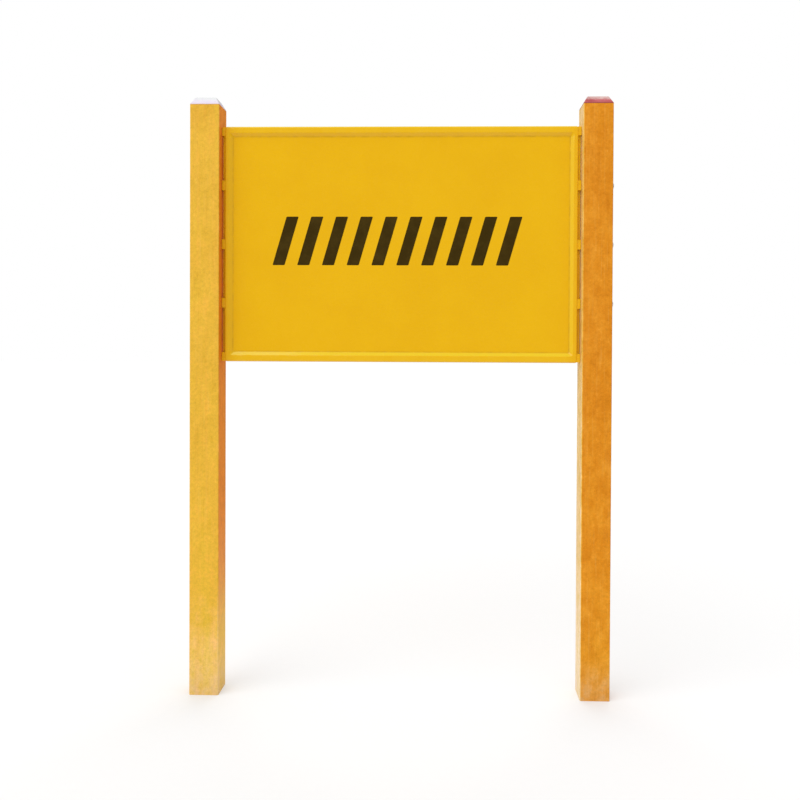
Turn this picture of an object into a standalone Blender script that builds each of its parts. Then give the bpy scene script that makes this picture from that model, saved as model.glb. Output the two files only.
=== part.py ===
"""Twin-post warning sign: two hollow square posts with caps, and a moulded panel bolted between them.

All sizes are in metres. X runs along the panel from left to right, Y from front to back and Z up.
The origin lies on the ground, midway between the two posts.
"""

import math

import bmesh
import bpy

# Posts: pultruded square tubes
POST_LENGTH = 1.500
POST_SECTION = 0.075
POST_WALL = 0.004
POST_OUTER_RADIUS = 0.003
POST_INNER_RADIUS = 0.002

# Caps: moulded plugs with a chamfered head and a finned spigot
CAP_HEIGHT = 0.020
CAP_LAND = 0.0015
CAP_CHAMFER_INSET = 0.011
CAP_EDGE_ROUNDING = 0.002
CAP_WALL = 0.003
SPIGOT_WALL = 0.0025
SPIGOT_LEAD_IN = 0.0015
SPIGOT_TAIL = 0.0065
FIN_REACH = 0.0025
FIN_THICKNESS = 0.0018
FIN_COUNT = 3
FIN_PITCH = 0.008
FIRST_FIN_DEPTH = 0.006

# Panel: two moulded trays, back to back, with a raised rim round a recessed field
PANEL_WIDTH = 0.900
PANEL_HEIGHT = 0.600
PANEL_DROP = 0.050
PANEL_WALL = 0.003
PANEL_EDGE_ROUNDING = 0.005
RIM_CORNER_RADIUS = 0.001
SIDE_RIM_WIDTH = 0.011
END_RIM_WIDTH = 0.016
RIM_SLOPE_WIDTH = 0.009
RIM_EDGE_ROUNDING = 0.0015
FIELD_RECESS = 0.006
FIELD_CORNER_RADIUS = 0.006
SIDE_GAP = 0.008

# Lugs on the panel's side edges, which bridge the gap to the posts
LUG_HEIGHT = 0.025
END_LUG_HEIGHT = 0.022
LUG_SETBACK = 0.0015
LUG_CHAMFER = 0.001

# Ribs moulded inside each tray
RIB_THICKNESS = 0.003
RIB_COLUMNS = 5
RIB_ROWS = 3

# Fixings: hexagon bolts through the posts into nuts held in the panel's edge channels
FIXINGS_PER_SIDE = 3
FIXING_END_DISTANCE = 0.150
BOLT_RADIUS = 0.004
BOLT_HEAD_HEIGHT = 0.0053
BOLT_TIP_CHAMFER = 0.0008
BOLT_PROJECTION = 0.0015
SPANNER_SIZE = 0.013
NUT_HEIGHT = 0.0065
WASHER_RADIUS = 0.008
WASHER_THICKNESS = 0.0016
WASHER_ROUNDING = 0.0003
SLEEVE_WALL = 0.0025
CHANNEL_WALL = 0.0015
CHANNEL_INNER_BEND = 0.001

# Clearances
CONTACT_GAP = 0.0003
BORE_CLEARANCE = 0.0005
NUT_SIDE_CLEARANCE = 0.0007
CHANNEL_END_CLEARANCE = 0.005

# Fineness of the round forms
CORNER_STEPS = 3
FILLET_STEPS = 4
ROUND_STEPS = 18
SMOOTH_ANGLE = math.radians(35)

# Places that follow from the sizes
POST_CENTRE_X = PANEL_WIDTH / 2 + SIDE_GAP + POST_SECTION / 2
PANEL_TOP = POST_LENGTH - PANEL_DROP
PANEL_CENTRE_Z = PANEL_TOP - PANEL_HEIGHT / 2
CHANNEL_HALF_WIDTH = SPANNER_SIZE / 2 + NUT_SIDE_CLEARANCE + CHANNEL_WALL
PANEL_HALF_DEPTH = PANEL_WALL + CONTACT_GAP + CHANNEL_HALF_WIDTH
PANEL_CORNER_RADIUS = PANEL_EDGE_ROUNDING + RIM_CORNER_RADIUS
SPIGOT_DEPTH = FIRST_FIN_DEPTH + (FIN_COUNT - 1) * FIN_PITCH + 2 * FIN_THICKNESS + SPIGOT_TAIL
BORE_RADIUS = BOLT_RADIUS + BORE_CLEARANCE
SIDES = {"left": -1, "right": 1}

# Colours as linear RGB
POST_ORANGE = (0.72, 0.36, 0.05)
PANEL_YELLOW = (0.79, 0.45, 0.01)
CAP_WHITE = (0.82, 0.80, 0.80)
CAP_RED = (0.52, 0.10, 0.12)
ZINC_GREY = (0.55, 0.56, 0.58)


def make_material(name, colour, roughness, metallic=0.0):
    """A plain surface in one colour."""
    material = bpy.data.materials.new(name)
    material.use_nodes = True
    shader = material.node_tree.nodes["Principled BSDF"]
    shader.inputs["Base Color"].default_value = (*colour, 1.0)
    shader.inputs["Roughness"].default_value = roughness
    shader.inputs["Metallic"].default_value = metallic
    return material


def post_material():
    """Orange-yellow pultruded fibreglass with a dull skin."""
    return make_material("post_fibreglass", POST_ORANGE, 0.6)


def panel_material():
    """Glossy yellow gel coat over moulded fibreglass."""
    return make_material("panel_gel_coat", PANEL_YELLOW, 0.25)


def cap_material(side):
    """Moulded plastic, white on the left post and red on the right one."""
    colour = CAP_WHITE if side == "left" else CAP_RED
    return make_material(side + "_cap_plastic", colour, 0.45)


def zinc_material():
    """Zinc-plated steel for the fixings and channels."""
    return make_material("zinc_plated_steel", ZINC_GREY, 0.35, 1.0)


def add_object(name, mesh, material=None):
    """Put a mesh into the scene as one named object."""
    thing = bpy.data.objects.new(name, mesh)
    bpy.context.scene.collection.objects.link(thing)
    if material is not None:
        mesh.materials.append(material)
    return thing


def add_guide(name, mesh):
    """A body that only cuts or joins another one, and isn't part of the sign."""
    guide = add_object(name, mesh)
    guide.hide_render = True
    guide.display_type = "WIRE"
    return guide


def combine(target, operation, guide):
    """Cut the guide out of the target, or join it on."""
    modifier = target.modifiers.new(operation.lower() + "_" + guide.name, "BOOLEAN")
    modifier.operation = operation
    modifier.solver = "EXACT"
    modifier.object = guide


def finish_mesh(name, shape):
    """Turn a bmesh into a mesh with outward faces, smooth but for its sharp edges."""
    bmesh.ops.recalc_face_normals(shape, faces=shape.faces)
    mesh = bpy.data.meshes.new(name)
    shape.to_mesh(mesh)
    shape.free()
    mesh.shade_smooth()
    mesh.set_sharp_from_angle(angle=SMOOTH_ANGLE)
    return mesh


def loft(name, rings, closed=False):
    """Skin a row of rings of equal count. The row's ends are filled, or joined when it is closed."""
    shape = bmesh.new()
    loops = [[shape.verts.new(point) for point in ring] for ring in rings]
    pairs = list(zip(loops, loops[1:]))
    if closed:
        pairs.append((loops[-1], loops[0]))
    else:
        shape.faces.new(loops[0])
        shape.faces.new(loops[-1])
    for lower, upper in pairs:
        for index in range(len(lower)):
            following = (index + 1) % len(lower)
            shape.faces.new((lower[index], lower[following], upper[following], upper[index]))
    return finish_mesh(name, shape)


def block_shape(boxes):
    """Separate boxes, each given by its low and high corner."""
    shape = bmesh.new()
    for low, high in boxes:
        made = bmesh.ops.create_cube(shape, size=1.0)
        for vertex in made["verts"]:
            for axis in range(3):
                vertex.co[axis] = low[axis] if vertex.co[axis] < 0 else high[axis]
    return shape


def rounded_rectangle(width, height, radius):
    """Outline points of a rounded rectangle about the origin, always the same number of them."""
    points = []
    for quarter, (sign_u, sign_v) in enumerate(((1, 1), (-1, 1), (-1, -1), (1, -1))):
        for step in range(CORNER_STEPS + 1):
            angle = math.pi / 2 * (quarter + step / CORNER_STEPS)
            points.append((sign_u * (width / 2 - radius) + radius * math.cos(angle),
                           sign_v * (height / 2 - radius) + radius * math.sin(angle)))
    return points


def fillet(before, corner, after, radius):
    """Points of the arc that rounds one corner of a profile. The corner's further values are kept."""
    def towards(point):
        length = math.dist(point[:2], corner[:2])
        return [(point[axis] - corner[axis]) / length for axis in range(2)]

    back, ahead = towards(before), towards(after)
    opening = math.acos(max(-1.0, min(1.0, back[0] * ahead[0] + back[1] * ahead[1])))
    setback = radius / math.tan(opening / 2)
    bisector = [back[axis] + ahead[axis] for axis in range(2)]
    reach = radius / math.sin(opening / 2) / math.hypot(*bisector)
    centre = [corner[axis] + bisector[axis] * reach for axis in range(2)]
    start = [corner[axis] + back[axis] * setback - centre[axis] for axis in range(2)]
    end = [corner[axis] + ahead[axis] * setback - centre[axis] for axis in range(2)]
    sweep = math.pi - opening
    points = []
    for step in range(FILLET_STEPS + 1):
        share = step / FILLET_STEPS
        weight_start = math.sin((1 - share) * sweep) / math.sin(sweep)
        weight_end = math.sin(share * sweep) / math.sin(sweep)
        points.append((centre[0] + start[0] * weight_start + end[0] * weight_end,
                       centre[1] + start[1] * weight_start + end[1] * weight_end,
                       *corner[2:]))
    return points


def fixing_heights():
    """Heights of the bolts above the ground, from the top one down."""
    top = PANEL_TOP - FIXING_END_DISTANCE
    pitch = (PANEL_HEIGHT - 2 * FIXING_END_DISTANCE) / (FIXINGS_PER_SIDE - 1)
    return [top - pitch * index for index in range(FIXINGS_PER_SIDE)]


def circle_radius(radius):
    """The same radius all round."""
    return lambda angle: radius


def hexagon_radius(limit):
    """A hexagon with flats at the front and back, its corners turned down to a limit."""
    def radius(angle):
        off_flat = angle % (math.pi / 3) - math.pi / 6
        return min(SPANNER_SIZE / 2 / math.cos(off_flat), limit)
    return radius


def turned(name, profile, closed=False):
    """A body along Z from pairs of a height and a radius that may change with the angle."""
    rings = []
    for height, radius_at in profile:
        ring = []
        for step in range(ROUND_STEPS):
            angle = math.tau * step / ROUND_STEPS
            ring.append((radius_at(angle) * math.cos(angle), radius_at(angle) * math.sin(angle), height))
        rings.append(ring)
    return loft(name, rings, closed)


def post_mesh():
    """A square tube with rounded corners, open at both ends."""
    rings = []
    bore = POST_SECTION - 2 * POST_WALL
    for size, radius, height in ((POST_SECTION, POST_OUTER_RADIUS, 0.0),
                                 (POST_SECTION, POST_OUTER_RADIUS, POST_LENGTH),
                                 (bore, POST_INNER_RADIUS, POST_LENGTH),
                                 (bore, POST_INNER_RADIUS, 0.0)):
        rings.append([(u, v, height) for u, v in rounded_rectangle(size, size, radius)])
    return loft("post", rings, closed=True)


def cap_profile():
    """Half widths, heights above the tube's end and plan radii, from inside the head to its top."""
    half = POST_SECTION / 2
    bore = half - POST_WALL
    spigot = bore - FIN_REACH
    hollow = spigot - SPIGOT_WALL
    top_half = half - CAP_CHAMFER_INSET
    slope_run = CAP_CHAMFER_INSET / (CAP_HEIGHT - CAP_LAND)
    level_wall = CAP_WALL * math.hypot(1.0, slope_run)
    top_hollow = top_half + CAP_WALL * slope_run - level_wall
    bend_height = CAP_LAND + (half - level_wall - hollow) / slope_run
    points = [(top_hollow, CAP_HEIGHT - CAP_WALL, POST_INNER_RADIUS),
              (hollow, bend_height, POST_INNER_RADIUS),
              (hollow, -SPIGOT_DEPTH, POST_INNER_RADIUS),
              (spigot - SPIGOT_LEAD_IN, -SPIGOT_DEPTH, POST_INNER_RADIUS),
              (spigot, -SPIGOT_DEPTH + SPIGOT_LEAD_IN, POST_INNER_RADIUS)]
    for index in reversed(range(FIN_COUNT)):
        top = -FIRST_FIN_DEPTH - index * FIN_PITCH
        points += [(spigot, top - 2 * FIN_THICKNESS, POST_INNER_RADIUS),
                   (bore - CONTACT_GAP, top - FIN_THICKNESS / 2, POST_INNER_RADIUS),
                   (bore - CONTACT_GAP, top, POST_INNER_RADIUS),
                   (spigot, top, POST_INNER_RADIUS)]
    ledge = (half, CONTACT_GAP, POST_OUTER_RADIUS)
    shoulder = (half, CAP_LAND, POST_OUTER_RADIUS)
    crown = (top_half, CAP_HEIGHT, POST_OUTER_RADIUS)
    points += [(spigot, CONTACT_GAP, POST_INNER_RADIUS), ledge, shoulder]
    points += fillet(shoulder, crown, (0.0, CAP_HEIGHT), CAP_EDGE_ROUNDING)
    return points


def cap_mesh():
    """A chamfered head over a hollow spigot with soft fins that grip the tube."""
    rings = []
    for half, height, radius in cap_profile():
        rings.append([(u, v, height) for u, v in rounded_rectangle(2 * half, 2 * half, radius)])
    return loft("cap", rings)


def slope_offset():
    """How far the corners of the tray's inner face shift where its wall follows the rim's slope."""
    slope_angle = math.atan2(FIELD_RECESS, RIM_SLOPE_WIDTH)
    return PANEL_WALL * math.tan(slope_angle / 2)


def tray_profile(rim_width):
    """Insets from the panel's edge, depths behind its front and plan radii, from inside to outside."""
    seam = PANEL_HALF_DEPTH + PANEL_WALL
    foot = rim_width + RIM_SLOPE_WIDTH
    inner_radius = PANEL_CORNER_RADIUS - PANEL_WALL
    points = [(foot - slope_offset(), FIELD_RECESS + PANEL_WALL, FIELD_CORNER_RADIUS),
              (rim_width - slope_offset(), PANEL_WALL, FIELD_CORNER_RADIUS),
              (PANEL_WALL, PANEL_WALL, inner_radius),
              (PANEL_WALL, seam, inner_radius),
              (0.0, seam, PANEL_CORNER_RADIUS)]
    for step in range(FILLET_STEPS + 1):
        angle = math.pi / 2 * step / FILLET_STEPS
        inset = PANEL_EDGE_ROUNDING * (1 - math.cos(angle))
        points.append((inset, PANEL_EDGE_ROUNDING * (1 - math.sin(angle)), PANEL_CORNER_RADIUS - inset))
    rim_outer = points[-1]
    rim_inner = (rim_width, 0.0, FIELD_CORNER_RADIUS)
    slope_foot = (foot, FIELD_RECESS, FIELD_CORNER_RADIUS)
    points += fillet(rim_outer, rim_inner, slope_foot, RIM_EDGE_ROUNDING)
    points.append(slope_foot)
    return points


def tray_mesh(name, facing):
    """One half of the panel. Facing is -1 for the front tray and 1 for the rear one."""
    rings = []
    for (side_inset, depth, radius), (end_inset, _, _) in zip(tray_profile(SIDE_RIM_WIDTH),
                                                               tray_profile(END_RIM_WIDTH)):
        outline = rounded_rectangle(PANEL_WIDTH - 2 * side_inset, PANEL_HEIGHT - 2 * end_inset, radius)
        rings.append([(u, facing * (PANEL_HALF_DEPTH - depth), PANEL_CENTRE_Z + v) for u, v in outline])
    return loft(name, rings)


def lug_mesh():
    """Lugs at each bolt and at the panel's ends, on both side edges, their free edges chamfered."""
    spans = [(height - LUG_HEIGHT / 2, height + LUG_HEIGHT / 2) for height in fixing_heights()]
    upper = PANEL_TOP - LUG_SETBACK
    lower = PANEL_TOP - PANEL_HEIGHT + LUG_SETBACK
    spans += [(upper - END_LUG_HEIGHT, upper), (lower, lower + END_LUG_HEIGHT)]
    reach = PANEL_HALF_DEPTH - LUG_SETBACK
    boxes = []
    for side in SIDES.values():
        edges = sorted((side * (PANEL_WIDTH / 2 - PANEL_WALL + CONTACT_GAP),
                        side * (PANEL_WIDTH / 2 + SIDE_GAP - CONTACT_GAP)))
        boxes += [((edges[0], -reach, low), (edges[1], reach, high)) for low, high in spans]
    shape = block_shape(boxes)
    free = [edge for edge in shape.edges if max(abs(end.co.x) for end in edge.verts) > PANEL_WIDTH / 2]
    bmesh.ops.bevel(shape, geom=free, offset=LUG_CHAMFER, segments=1, affect="EDGES")
    return finish_mesh("lugs", shape)


def rib_mesh(vertical):
    """Upright or level ribs across the field's inner face."""
    half_width = PANEL_WIDTH / 2 - SIDE_RIM_WIDTH - RIM_SLOPE_WIDTH + slope_offset()
    half_height = PANEL_HEIGHT / 2 - END_RIM_WIDTH - RIM_SLOPE_WIDTH + slope_offset()
    depth = PANEL_HALF_DEPTH - FIELD_RECESS - PANEL_WALL / 2
    boxes = []
    count = RIB_COLUMNS if vertical else RIB_ROWS
    for index in range(count):
        share = 2 * (index + 1) / (count + 1) - 1
        if vertical:
            centre, half_x, half_z = (half_width * share, 0.0), RIB_THICKNESS / 2, half_height
        else:
            centre, half_x, half_z = (0.0, half_height * share), half_width, RIB_THICKNESS / 2
        boxes.append(((centre[0] - half_x, -depth, PANEL_CENTRE_Z + centre[1] - half_z),
                      (centre[0] + half_x, depth, PANEL_CENTRE_Z + centre[1] + half_z)))
    return finish_mesh("ribs", block_shape(boxes))


def seam_cutter(name, facing):
    """Everything past one tray's seam face."""
    reach = PANEL_WIDTH
    near = -facing * PANEL_HALF_DEPTH * 2
    edge = facing * CONTACT_GAP / 2
    box = ((-reach, min(near, edge), PANEL_CENTRE_Z - reach),
           (reach, max(near, edge), PANEL_CENTRE_Z + reach))
    return add_guide(name, finish_mesh(name, block_shape([box])))


def bore_cutter(name, side):
    """Bolt holes through one post, the lugs beside it and the channel behind them."""
    start = side * (POST_CENTRE_X + POST_SECTION)
    end = side * (PANEL_WIDTH / 2 - SIDE_RIM_WIDTH)
    shape = bmesh.new()
    for height in fixing_heights():
        rings = []
        for x in (start, end):
            ring = []
            for step in range(ROUND_STEPS):
                angle = math.tau * (step + 0.5) / ROUND_STEPS
                ring.append(shape.verts.new((x, BORE_RADIUS * math.cos(angle),
                                             height + BORE_RADIUS * math.sin(angle))))
            rings.append(ring)
        shape.faces.new(rings[0])
        shape.faces.new(rings[1])
        for index in range(ROUND_STEPS):
            following = (index + 1) % ROUND_STEPS
            shape.faces.new((rings[0][index], rings[0][following], rings[1][following], rings[1][index]))
    return add_guide(name, finish_mesh(name, shape))


def channel_mesh(name, side):
    """A folded channel that stands in the rim's hollow, its open side towards the panel's middle."""
    slope_run = RIM_SLOPE_WIDTH / FIELD_RECESS
    headroom = PANEL_HALF_DEPTH - PANEL_WALL - CHANNEL_HALF_WIDTH
    room = SIDE_RIM_WIDTH - slope_offset() + headroom * slope_run
    web = PANEL_WIDTH / 2 - PANEL_WALL - CONTACT_GAP
    lip = PANEL_WIDTH / 2 - room + CONTACT_GAP
    outer = (CHANNEL_HALF_WIDTH, web, CHANNEL_INNER_BEND + CHANNEL_WALL, 1)
    inner = (CHANNEL_HALF_WIDTH - CHANNEL_WALL, web - CHANNEL_WALL, CHANNEL_INNER_BEND, -1)
    profile = []
    for half, back, bend, turn in (outer, inner):
        profile.append((lip, -turn * half))
        profile += fillet((lip, -turn * half), (back, -turn * half), (back, 0.0), bend)
        profile += fillet((back, 0.0), (back, turn * half), (lip, turn * half), bend)
        profile.append((lip, turn * half))
    half_length = PANEL_HEIGHT / 2 - PANEL_WALL - CHANNEL_END_CLEARANCE
    rings = []
    for height in (PANEL_CENTRE_Z - half_length, PANEL_CENTRE_Z + half_length):
        rings.append([(side * x, y, height) for x, y in profile])
    return loft(name, rings)


def bolt_length():
    """Length under the head: washer, post, gap, panel wall, channel, nut and a little more."""
    return (WASHER_THICKNESS + 2 * CONTACT_GAP + POST_SECTION + SIDE_GAP + PANEL_WALL + CONTACT_GAP
            + CHANNEL_WALL + CONTACT_GAP + NUT_HEIGHT + BOLT_PROJECTION)


def bolt_mesh():
    """A hexagon bolt along Z, from its tip up to the top of its head at zero."""
    flat = SPANNER_SIZE / 2
    corner = flat / math.cos(math.pi / 6)
    under_head = -BOLT_HEAD_HEIGHT
    tip = under_head - bolt_length()
    chamfer = (corner - flat) * math.tan(math.pi / 6) * 2
    return turned("bolt", [(tip, circle_radius(BOLT_RADIUS - BOLT_TIP_CHAMFER)),
                           (tip + BOLT_TIP_CHAMFER, circle_radius(BOLT_RADIUS)),
                           (under_head, circle_radius(BOLT_RADIUS)),
                           (under_head, hexagon_radius(corner)),
                           (-chamfer, hexagon_radius(corner)),
                           (0.0, hexagon_radius(flat - chamfer / 2))])


def nut_mesh():
    """A hexagon nut along Z, chamfered on both faces, with a clear bore for the bolt."""
    flat = SPANNER_SIZE / 2
    corner = flat / math.cos(math.pi / 6)
    chamfer = (corner - flat) * math.tan(math.pi / 6) * 2
    bore = BOLT_RADIUS + CONTACT_GAP
    return turned("nut", [(0.0, hexagon_radius(flat - chamfer / 2)),
                          (chamfer, hexagon_radius(corner)),
                          (NUT_HEIGHT - chamfer, hexagon_radius(corner)),
                          (NUT_HEIGHT, hexagon_radius(flat - chamfer / 2)),
                          (NUT_HEIGHT, circle_radius(bore)),
                          (0.0, circle_radius(bore))], closed=True)


def washer_mesh():
    """A flat washer along Z, its outer edges slightly rounded."""
    bore = BOLT_RADIUS + CONTACT_GAP
    return turned("washer", [(0.0, circle_radius(WASHER_RADIUS - WASHER_ROUNDING)),
                             (WASHER_ROUNDING, circle_radius(WASHER_RADIUS)),
                             (WASHER_THICKNESS - WASHER_ROUNDING, circle_radius(WASHER_RADIUS)),
                             (WASHER_THICKNESS, circle_radius(WASHER_RADIUS - WASHER_ROUNDING)),
                             (WASHER_THICKNESS, circle_radius(bore)),
                             (0.0, circle_radius(bore))], closed=True)


def sleeve_length():
    """The room between the post's two walls, less a little at each end."""
    return POST_SECTION - 2 * POST_WALL - 2 * CONTACT_GAP


def sleeve_mesh():
    """A plain tube along Z that keeps the post's walls apart when the bolt is tightened."""
    radius = BORE_RADIUS + SLEEVE_WALL
    return turned("sleeve", [(0.0, circle_radius(radius)),
                             (sleeve_length(), circle_radius(radius)),
                             (sleeve_length(), circle_radius(BORE_RADIUS)),
                             (0.0, circle_radius(BORE_RADIUS))], closed=True)


def make_posts(bores):
    """Both tubes, drilled for the bolts."""
    material = post_material()
    for name, side in SIDES.items():
        post = add_object(name + "_post", post_mesh(), material)
        post.location = (side * POST_CENTRE_X, 0.0, 0.0)
        combine(post, "DIFFERENCE", bores[name])


def make_caps():
    """A cap on each tube's upper end."""
    for name, side in SIDES.items():
        cap = add_object(name + "_cap", cap_mesh(), cap_material(name))
        cap.location = (side * POST_CENTRE_X, 0.0, POST_LENGTH)


def make_panel(bores):
    """The front and rear trays with their lugs, ribs and bolt holes."""
    material = panel_material()
    lugs = add_guide("lug_blocks", lug_mesh())
    columns = add_guide("rib_columns", rib_mesh(vertical=True))
    rows = add_guide("rib_rows", rib_mesh(vertical=False))
    for name, facing in (("front_panel", -1), ("rear_panel", 1)):
        tray = add_object(name, tray_mesh(name, facing), material)
        combine(tray, "UNION", lugs)
        combine(tray, "UNION", columns)
        combine(tray, "UNION", rows)
        for side in SIDES:
            combine(tray, "DIFFERENCE", bores[side])
        combine(tray, "DIFFERENCE", seam_cutter(name + "_seam", facing))


def make_channels(bores, material):
    """A nut channel inside each side of the rim."""
    for name, side in SIDES.items():
        channel = add_object(name + "_channel", channel_mesh(name + "_channel", side), material)
        combine(channel, "DIFFERENCE", bores[name])


def make_fixings(material):
    """A bolt, washer, sleeve and nut at each height on both sides."""
    washer_place = POST_CENTRE_X + POST_SECTION / 2 + CONTACT_GAP
    head_top = washer_place + WASHER_THICKNESS + CONTACT_GAP + BOLT_HEAD_HEIGHT
    sleeve_place = POST_CENTRE_X - sleeve_length() / 2
    nut_place = PANEL_WIDTH / 2 - PANEL_WALL - CHANNEL_WALL - 2 * CONTACT_GAP - NUT_HEIGHT
    pieces = (("bolt", bolt_mesh(), head_top),
              ("washer", washer_mesh(), washer_place),
              ("sleeve", sleeve_mesh(), sleeve_place),
              ("nut", nut_mesh(), nut_place))
    for kind, mesh, place in pieces:
        mesh.materials.append(material)
        for name, side in SIDES.items():
            for number, height in enumerate(fixing_heights(), start=1):
                piece = add_object(name + "_" + kind + "_" + str(number), mesh)
                piece.location = (side * place, 0.0, height)
                piece.rotation_euler = (0.0, side * math.pi / 2, 0.0)


def main():
    """Clear the scene and build the sign."""
    for old in list(bpy.data.objects):
        bpy.data.objects.remove(old, do_unlink=True)
    bores = {name: bore_cutter(name + "_bores", side) for name, side in SIDES.items()}
    zinc = zinc_material()
    make_posts(bores)
    make_caps()
    make_panel(bores)
    make_channels(bores, zinc)
    make_fixings(zinc)


main()
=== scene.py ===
"""Looks of the twin-post warning sign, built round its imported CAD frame.

Sizes are in metres, in the frame's own axes: X runs from the left post to the right one, Y from the
sign's front to its back, and Z up from the ground.
"""

import logging
import math
from collections.abc import Callable, Sequence
from dataclasses import dataclass
from enum import Enum

import bmesh
import bpy
from mathutils import Matrix, Vector


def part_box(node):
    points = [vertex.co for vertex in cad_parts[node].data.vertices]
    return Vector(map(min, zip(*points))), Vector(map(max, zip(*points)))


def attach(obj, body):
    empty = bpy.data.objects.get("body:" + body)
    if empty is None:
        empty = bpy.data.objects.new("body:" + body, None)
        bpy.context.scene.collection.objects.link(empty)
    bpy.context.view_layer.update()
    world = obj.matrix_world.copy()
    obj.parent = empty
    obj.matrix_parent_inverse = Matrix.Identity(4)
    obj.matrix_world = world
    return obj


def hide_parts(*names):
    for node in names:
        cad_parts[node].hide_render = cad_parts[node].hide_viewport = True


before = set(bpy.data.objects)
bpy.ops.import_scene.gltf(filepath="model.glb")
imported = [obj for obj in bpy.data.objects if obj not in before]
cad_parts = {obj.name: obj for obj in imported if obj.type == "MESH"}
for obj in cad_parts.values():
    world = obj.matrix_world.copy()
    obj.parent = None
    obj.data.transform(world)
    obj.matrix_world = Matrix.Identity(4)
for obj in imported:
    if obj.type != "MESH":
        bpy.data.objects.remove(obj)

LOG = logging.getLogger("sign")
BODY = "root"
WHITE = (1.0, 1.0, 1.0)

# The angle up to which an edge is shaded smooth, how near counts as touching, how near points are
# merged, and how much of its normal a face has along an axis when it looks straight along it.
SMOOTHING = math.radians(32)
REACH = 0.00002
MERGING = 0.000001
SQUARE_ON = 0.9

Triple = tuple[float, float, float]
Pair = tuple[float, float]
PlaceTest = Callable[[Vector, Vector], bool]
Primitive = Callable[..., set[str]]


def extent(node: str, axis: int) -> Pair:
    """The lowest and the highest place of a CAD node along X, Y or Z, which are axis 0, 1 and 2."""
    low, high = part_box(node)
    return round(low[axis], 6), round(high[axis], 6)


def middle_and_half(node: str, axis: int) -> Pair:
    """The middle of a CAD node along one axis, and half its size there."""
    low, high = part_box(node)
    return round((low[axis] + high[axis]) / 2, 6), round((high[axis] - low[axis]) / 2, 6)


# Sizes that several classes share, read from the frame where it has them.
POST_CENTRE, POST_HALF = middle_and_half("right_post", 0)
POST_TOP = extent("right_post", 2)[1]
CAP_TOP = extent("right_cap", 2)[1]
CAP_TOP_HALF = 0.0265
BOLT_HEIGHTS = tuple(middle_and_half(f"right_bolt_{number}", 2)[0] for number in (1, 2, 3))
HOLE_RADIUS = 0.0045
WASHER_FACE = extent("right_washer_1", 0)[0]

LUG_REACH = 0.0077
PANEL_HALF_WIDTH = round(extent("front_panel", 0)[1] - LUG_REACH, 6)
PANEL_CENTRE, PANEL_HALF_HEIGHT = middle_and_half("front_panel", 2)
PANEL_HALF_DEPTH, PANEL_SEAM = (-place for place in extent("front_panel", 1))
PANEL_PLAN_RADIUS = 0.006
SIDE_RIM = 0.011
END_RIM = 0.016
SLOPE = 0.009
RECESS = 0.006


class Named(Enum):
    """A choice whose options are also words in the frame's node names."""

    @property
    def word(self) -> str:
        """The option as it stands in a node's name."""
        return self.name.lower()


class Side(Named):
    """The two sides of the sign, as its reader sees them."""

    LEFT = -1
    RIGHT = 1

    @property
    def post_centre(self) -> float:
        """The X of the centre line of this side's post."""
        return self.value * POST_CENTRE


class Facing(Named):
    """The way that one of the panel's trays looks."""

    FRONT = -1
    REAR = 1


class Joining(Enum):
    """What a second body does to a piece."""

    CUT = "DIFFERENCE"
    FUSE = "UNION"
    KEEP_SHARED = "INTERSECT"


class Value:
    """A socket that carries a number, and adds Math nodes when it is used in an expression."""

    def __init__(self, sheet: "NodeSheet", socket: bpy.types.NodeSocket) -> None:
        """Wrap the output socket of a node on a sheet."""
        self.sheet = sheet
        self.socket = socket

    def __add__(self, other: "Value | float") -> "Value":
        """Sum."""
        return self.sheet.maths("ADD", self, other)

    __radd__ = __add__

    def __mul__(self, other: "Value | float") -> "Value":
        """Product."""
        return self.sheet.maths("MULTIPLY", self, other)

    __rmul__ = __mul__

    def __sub__(self, other: "Value | float") -> "Value":
        """Difference."""
        return self.sheet.maths("SUBTRACT", self, other)

    def __rsub__(self, other: float) -> "Value":
        """Difference from a plain number."""
        return self.sheet.maths("SUBTRACT", other, self)

    def __neg__(self) -> "Value":
        """The number with its sign turned."""
        return self.sheet.maths("MULTIPLY", self, -1.0)

    def __abs__(self) -> "Value":
        """The number without its sign."""
        return self.sheet.maths("ABSOLUTE", self)

    def least(self, other: "Value | float") -> "Value":
        """The smaller of two numbers."""
        return self.sheet.maths("MINIMUM", self, other)

    def most(self, other: "Value | float") -> "Value":
        """The larger of two numbers."""
        return self.sheet.maths("MAXIMUM", self, other)

    def held(self) -> "Value":
        """The number, held between 0 and 1."""
        return self.most(0.0).least(1.0)

    def swing(self, size: float) -> "Value":
        """How far a noise lies above or below its middle, times a size."""
        return (self - 0.5) * size

    def rise(self, start: float, end: float) -> "Value":
        """A smooth step.

        Args:
            start: The number at which the step leaves 0. It may lie above the end.
            end: The number at which the step reaches 1.

        Returns:
            The step's height, from 0 to 1.
        """
        made = self.sheet.add("ShaderNodeMapRange", {"interpolation_type": "SMOOTHSTEP", "clamp": True},
                              {"Value": self, "From Min": start, "From Max": end})
        return Value(self.sheet, made.outputs["Result"])

    def rise_past(self, edge: float, start: float, end: float) -> "Value":
        """A smooth step between two distances past an edge, which are below 0 before it."""
        return self.rise(edge + start, edge + end)


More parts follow.
